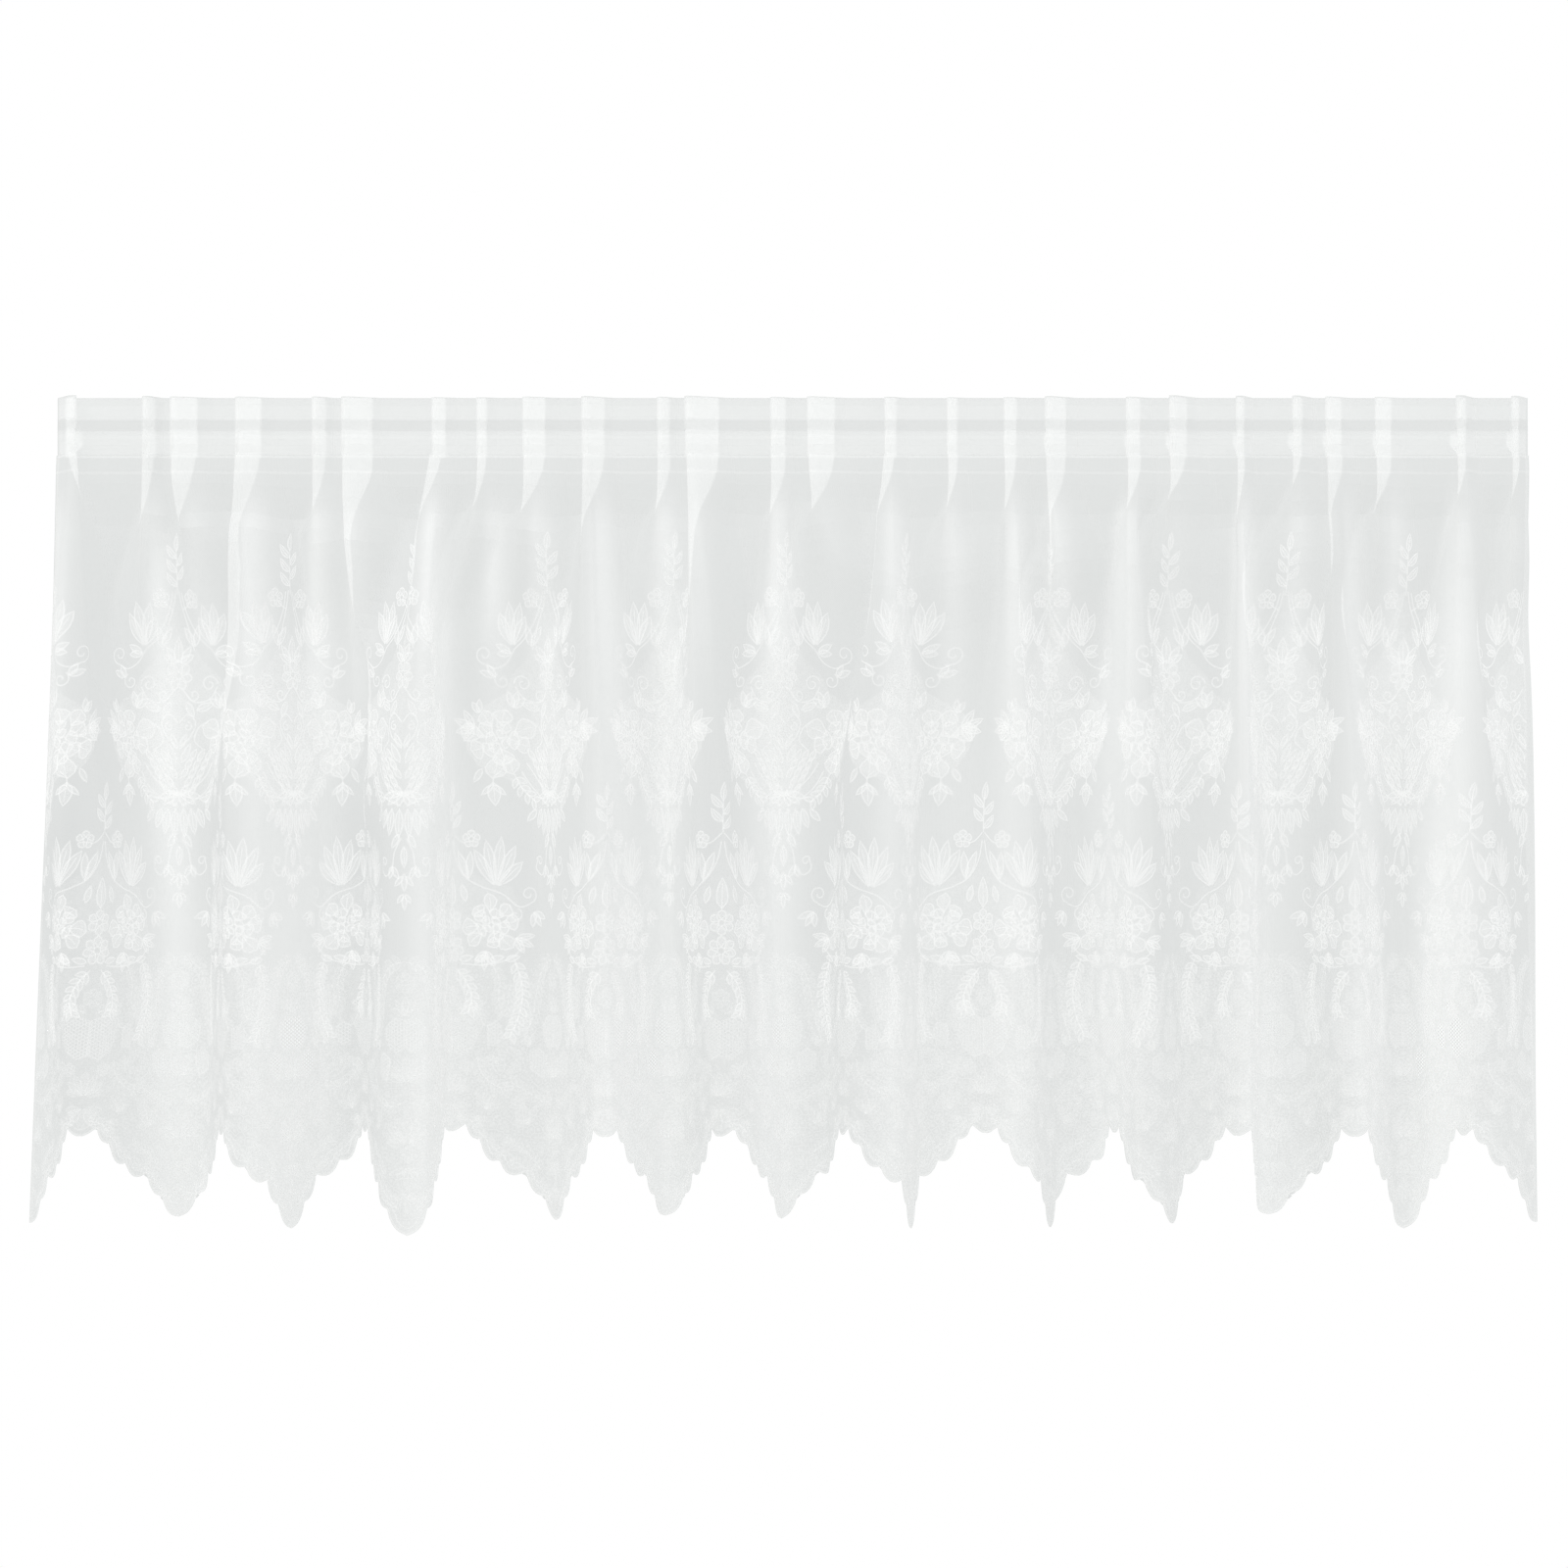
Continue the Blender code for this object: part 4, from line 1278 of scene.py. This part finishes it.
def valleyBorder():
    drawing = newDrawing()
    drawing["middle"] = True
    blossom(drawing, (0, 430), 7.0, 6)
    leaf(drawing, (0, 498), (0, 482), 6.0, 1.1, vein=True)
    leaf(drawing, (0, 510), (0, 524), 5.6, 1.2)
    drawing["middle"] = False
    netPatch(drawing, [(0.3, 446), (9, 443), (18, 448), (21, 458), (16, 468), (8, 474), (0.3, 471)])
    netPatch(drawing, [(27, 452), (34, 448), (38, 456), (35, 466), (27, 466)])
    netPatch(drawing, [(13, 436), (19, 431), (26, 435), (20, 443)])
    leafyStem(drawing, [(3, 441), (12, 438), (20, 442), (25, 452)], (6.5, 3.2), 4.8)
    fan(drawing, (0.8, 499), (16, 15, 13), (64, 38, 12), 5.2, 1.1, True)
    fan(drawing, (0.8, 509), (14.5, 14, 13), (-58, -30, -4), 5.2, 1.2)
    leafyStem(drawing, [(20, 473), (22, 484), (30, 493), (40, 498)], (7.5, 3.6), 5.2)
    blossom(drawing, (12, 481), 5.0, 6)
    blossom(drawing, (30, 478), 5.6, 6)
    fan(drawing, (26, 512), (14, 15, 14, 12), (120, 88, 56, 24), 5.0, 1.1, True)
    fan(drawing, (20, 517), (9, 9, 9), (-60, -95, -25), 3.8)
    spiral(drawing, (35, 521), 4.4, 60, 1.2)
    leafyStem(drawing, [(31, 408), (36, 420), (35, 432), (38, 444)], (7, 3.4), 5.4)
    leafyStem(drawing, besideHem(9, 3, 41, False), (6.5, 3.2), 4.8)
    return drawing


laceLook = {
    "cover": 0.19, "pitch": 0.0011, "thread": 0.5, "softness": 0.6, "contrast": 0.2, "toneSize": 240.0,
    "roughness": 0.85, "light": (0.96, 0.965, 0.96, 1), "shade": (0.92, 0.93, 0.925, 1),
}
threadLook = {
    "cover": 0.38, "toneSize": 500.0,
    "roughness": 0.7, "light": (0.98, 0.985, 0.98, 1), "shade": (0.94, 0.95, 0.945, 1),
}
netLook = {
    "cover": 0.16, "pitch": 0.0026, "thread": 0.42, "softness": 0.25, "contrast": 0.95, "toneSize": 240.0,
    "roughness": 0.8, "light": (0.97, 0.975, 0.97, 1), "shade": (0.93, 0.94, 0.935, 1),
}
laceCloth = clothMaterial("lace_cloth", laceLook)
denseLace = clothMaterial("dense_lace", {**laceLook, "cover": 0.21})
closeGround = clothMaterial("close_ground", {
    **laceLook, "bands": {"depth": 0.62, "stops": [
        (0.0, 0.0), (0.62, 0.02), (0.14, 0.0), (0.185, 0.06), (0.215, 0.13), (0.262, 0.13), (0.285, 0.06),
        (0.32, 0.01), (0.345, 0.05), (0.40, 0.03)]},
    "cell": 0.0042,
    "figure": {"depth": 0.62, "stops": [
        (0.0, 0.0), (0.62, 0.02), (0.14, 0.0), (0.185, 0.12), (0.215, 0.16), (0.262, 0.16), (0.285, 0.12),
        (0.32, 0.04), (0.345, 0.12), (0.385, 0.14), (0.41, 0.03)]},
})
laceThread = clothMaterial("lace_thread", threadLook)
borderCloth = clothMaterial("border_cloth", {**laceLook, "cover": 0.10})
borderThread = clothMaterial("border_thread", {**threadLook, "cover": 0.13})
borderNet = clothMaterial("border_net", netLook)

bouquetMaterials = {"shade": closeGround, "cloth": laceCloth, "dense": denseLace, "thread": laceThread}
borderMaterials = {"cloth": borderCloth, "thread": borderThread, "net": borderNet}
# name, drawing, first axis in repeats, shift of the mirrored halves, first middle, how many, materials
motifRuns = [
    ("upper_bouquet", upperBouquet(), 0.0, 1.0, 1.0, 11, bouquetMaterials),
    ("lower_bouquet", lowerBouquet(), 0.5, 0.0, 0.5, 12, bouquetMaterials),
    ("tip_border", tipBorder(), 0.0, 1.0, 1.0, 11, borderMaterials),
    ("valley_border", valleyBorder(), 0.5, 0.0, 0.5, 12, borderMaterials),
]
laceThings = [ground]
for name, drawing, first, shift, firstMiddle, middles, materials in motifRuns:
    for part, material in materials.items():
        piece = hang(flatPart(drawing, part, f"{name}_{part}"), laceRepeat, {
            "Guide": panelGuideThing, "Material": material, "First": first * cloth["repeat"],
            "Repeat": cloth["repeat"], "Count": cloth["repeats"], "Mirror shift": shift * cloth["repeat"],
            "Middle first": firstMiddle * cloth["repeat"], "Middle count": middles,
        })
        laceThings.append(piece)
        print(piece.name, sum(len(face.vertices) - 2 for face in piece.data.polygons), "triangles")


# cord along the hem
rim = {"cordWidth": 0.0016, "lineGap": 0.0042, "lineWidth": 0.0009, "lift": 0.0006}


def alongHem(inset, width):
    # a ribbon that follows the hem at a distance inside it
    line = hemLine(hemShape["steps"]) * (1, -1)
    ahead = np.gradient(line, axis=0)
    ahead /= np.maximum(np.hypot(ahead[:, 0], ahead[:, 1]), 1e-9)[:, None]
    inward = np.stack([-ahead[:, 1], ahead[:, 0]], axis=1)
    outer, inner = line + inward * inset, line + inward * (inset + width)
    points = [(x, y, rim["lift"]) for x, y in np.concatenate([outer, inner])]
    count = len(line)
    faces = [(i, i + 1, count + i + 1, count + i) for i in range(count - 1)]
    return points, faces


def ribbonPiece(name, ribbons, guide, material):
    points, faces = [], []
    for somePoints, someFaces in ribbons:
        start = len(points)
        points += somePoints
        faces += [tuple(start + corner for corner in face) for face in someFaces]
    flat = makeObject(name, makeMesh(name, points, faces))
    return hang(flat, hanging, {"Guide": guide, "Material": material})


def straightRibbon(left, right, top, low, lift, across, down):
    return flatGrid(np.linspace(left, right, across + 1), -np.linspace(top, low, down + 1), lift)


cordLook = {
    "cover": 0.30, "roughness": 0.7, "light": (0.96, 0.965, 0.96, 1), "shade": (0.9, 0.91, 0.905, 1),
}
stitchLook = {
    "cover": 0.14, "roughness": 0.7, "light": (0.97, 0.975, 0.97, 1), "shade": (0.92, 0.93, 0.925, 1),
}
hemCord = clothMaterial("hem_cord", cordLook)
stitchThread = clothMaterial("stitch_thread", stitchLook)
laceThings.append(ribbonPiece("hem_cord", [
    alongHem(0.0, rim["cordWidth"]), alongHem(rim["lineGap"], rim["lineWidth"]),
], panelGuideThing, hemCord))
# layout: lift, squares across, squares down
sideHem = {"width": 0.006, "short": 0.002, "layout": (0.0005, 4, 60)}
knitLine = {"top": 0.0530, "low": 0.0548, "layout": (0.0004, 1000, 1)}
hemTop, hemLow = cloth["headingDrop"] - cloth["tuckedIn"], hemPoints[0][2] - sideHem["short"]
sideRibbons = [
    straightRibbon(left, left + sideHem["width"], hemTop, hemLow, *sideHem["layout"])
    for left in (leftEdge, rightEdge - sideHem["width"])
]
laceThings.append(ribbonPiece("side_hems", sideRibbons, panelGuideThing, stitchThread))
laceThings.append(ribbonPiece("knit_line", [
    straightRibbon(leftEdge, rightEdge, knitLine["top"], knitLine["low"], *knitLine["layout"]),
], panelGuideThing, stitchThread))
print("hems made")
headingThings = [headingCloth]


# camera, lights and surroundings
def aimAt(thing, target):
    away = np.array(target) - np.array(thing.location)
    across = math.hypot(away[0], away[1])
    thing.rotation_euler = (math.atan2(across, -away[2]), 0, math.atan2(-away[0], away[1]))


def areaLight(name, place, power, size, colour):
    light = bpy.data.lights.new(name, "AREA")
    light.shape = "DISK"
    light.size = size
    light.energy = power
    light.color = colour
    thing = bpy.data.objects.new(name, light)
    thing.location = place
    aimAt(thing, view["middle"])
    scene.collection.objects.link(thing)


view = {"place": (-0.0053, -3.13, -0.2773), "lens": 100, "sensor": 36, "middle": (0.0, 0.0, -0.3)}
camera = bpy.data.cameras.new("front")
camera.lens = view["lens"]
camera.sensor_width = view["sensor"]
cameraThing = bpy.data.objects.new("front", camera)
cameraThing.location = view["place"]
cameraThing.rotation_euler = (math.pi / 2, 0, 0)
scene.collection.objects.link(cameraThing)
scene.camera = cameraThing

# name, place, power, size, colour
lamps = [
    ("key", (-1.8, -2.4, 1.2), 17, 1.8, (1.0, 0.995, 0.985)),
    ("fill", (2.2, -2.2, 0.2), 7, 2.2, (0.98, 0.99, 1.0)),
    ("behind", (0.6, 2.6, 1.2), 8, 2.0, (1.0, 1.0, 1.0)),
]
for lamp in lamps:
    areaLight(*lamp)

# the page is white; what is seen through the cloth is the pale grey that stands for a wall
surroundings = {
    "behind": (0.685, 0.70, 0.695, 1),
    "page": (1, 1, 1, 1),
    "light": (0.95, 0.95, 0.95, 1),
    "strength": 1.0,
    "floorRadius": 1.4,
    "floorHeight": -1.2,
    "floorColour": (0.62, 0.62, 0.61, 1),
    "floorRoughness": 0.8,
    "layersSeen": 48,
}
world = bpy.data.worlds.new("daylight")
world.use_nodes = True
sky = world.node_tree
paths = newNode(sky, "ShaderNodeLightPath").outputs
direct = mathNode(sky, "LESS_THAN", paths["Transparent Depth"], 0.5)
seen = mixColours(sky, direct, surroundings["behind"], surroundings["page"])
shown = mixColours(sky, paths["Is Camera Ray"], surroundings["light"], seen)
sky.links.new(shown, sky.nodes["Background"].inputs["Color"])
sky.nodes["Background"].inputs["Strength"].default_value = surroundings["strength"]
scene.world = world
scene.view_settings.view_transform = "Standard"
scene.view_settings.look = "None"
scene.cycles.transparent_max_bounces = surroundings["layersSeen"]

bpy.ops.mesh.primitive_circle_add(vertices=96, radius=surroundings["floorRadius"], fill_type="NGON",
                                  location=(0, 0, surroundings["floorHeight"]))
floor = bpy.context.object
floor.name = "floor"
floorPaint = bpy.data.materials.new("floor_paint")
floorPaint.use_nodes = True
floorShader = floorPaint.node_tree.nodes["Principled BSDF"]
floorShader.inputs["Base Color"].default_value = surroundings["floorColour"]
floorShader.inputs["Roughness"].default_value = surroundings["floorRoughness"]
floor.data.materials.append(floorPaint)


# the guides go, every piece hangs from the root body, and the solids' lace and heading are hidden
for thing in (panelGuideThing, headingGuideThing):
    bpy.data.objects.remove(thing, do_unlink=True)

for things, slotName in ((laceThings, "lace"), (headingThings, "heading")):
    for thing in things:
        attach(thing, "root")
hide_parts("lace_panel")
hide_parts("heading")


print("finishing")
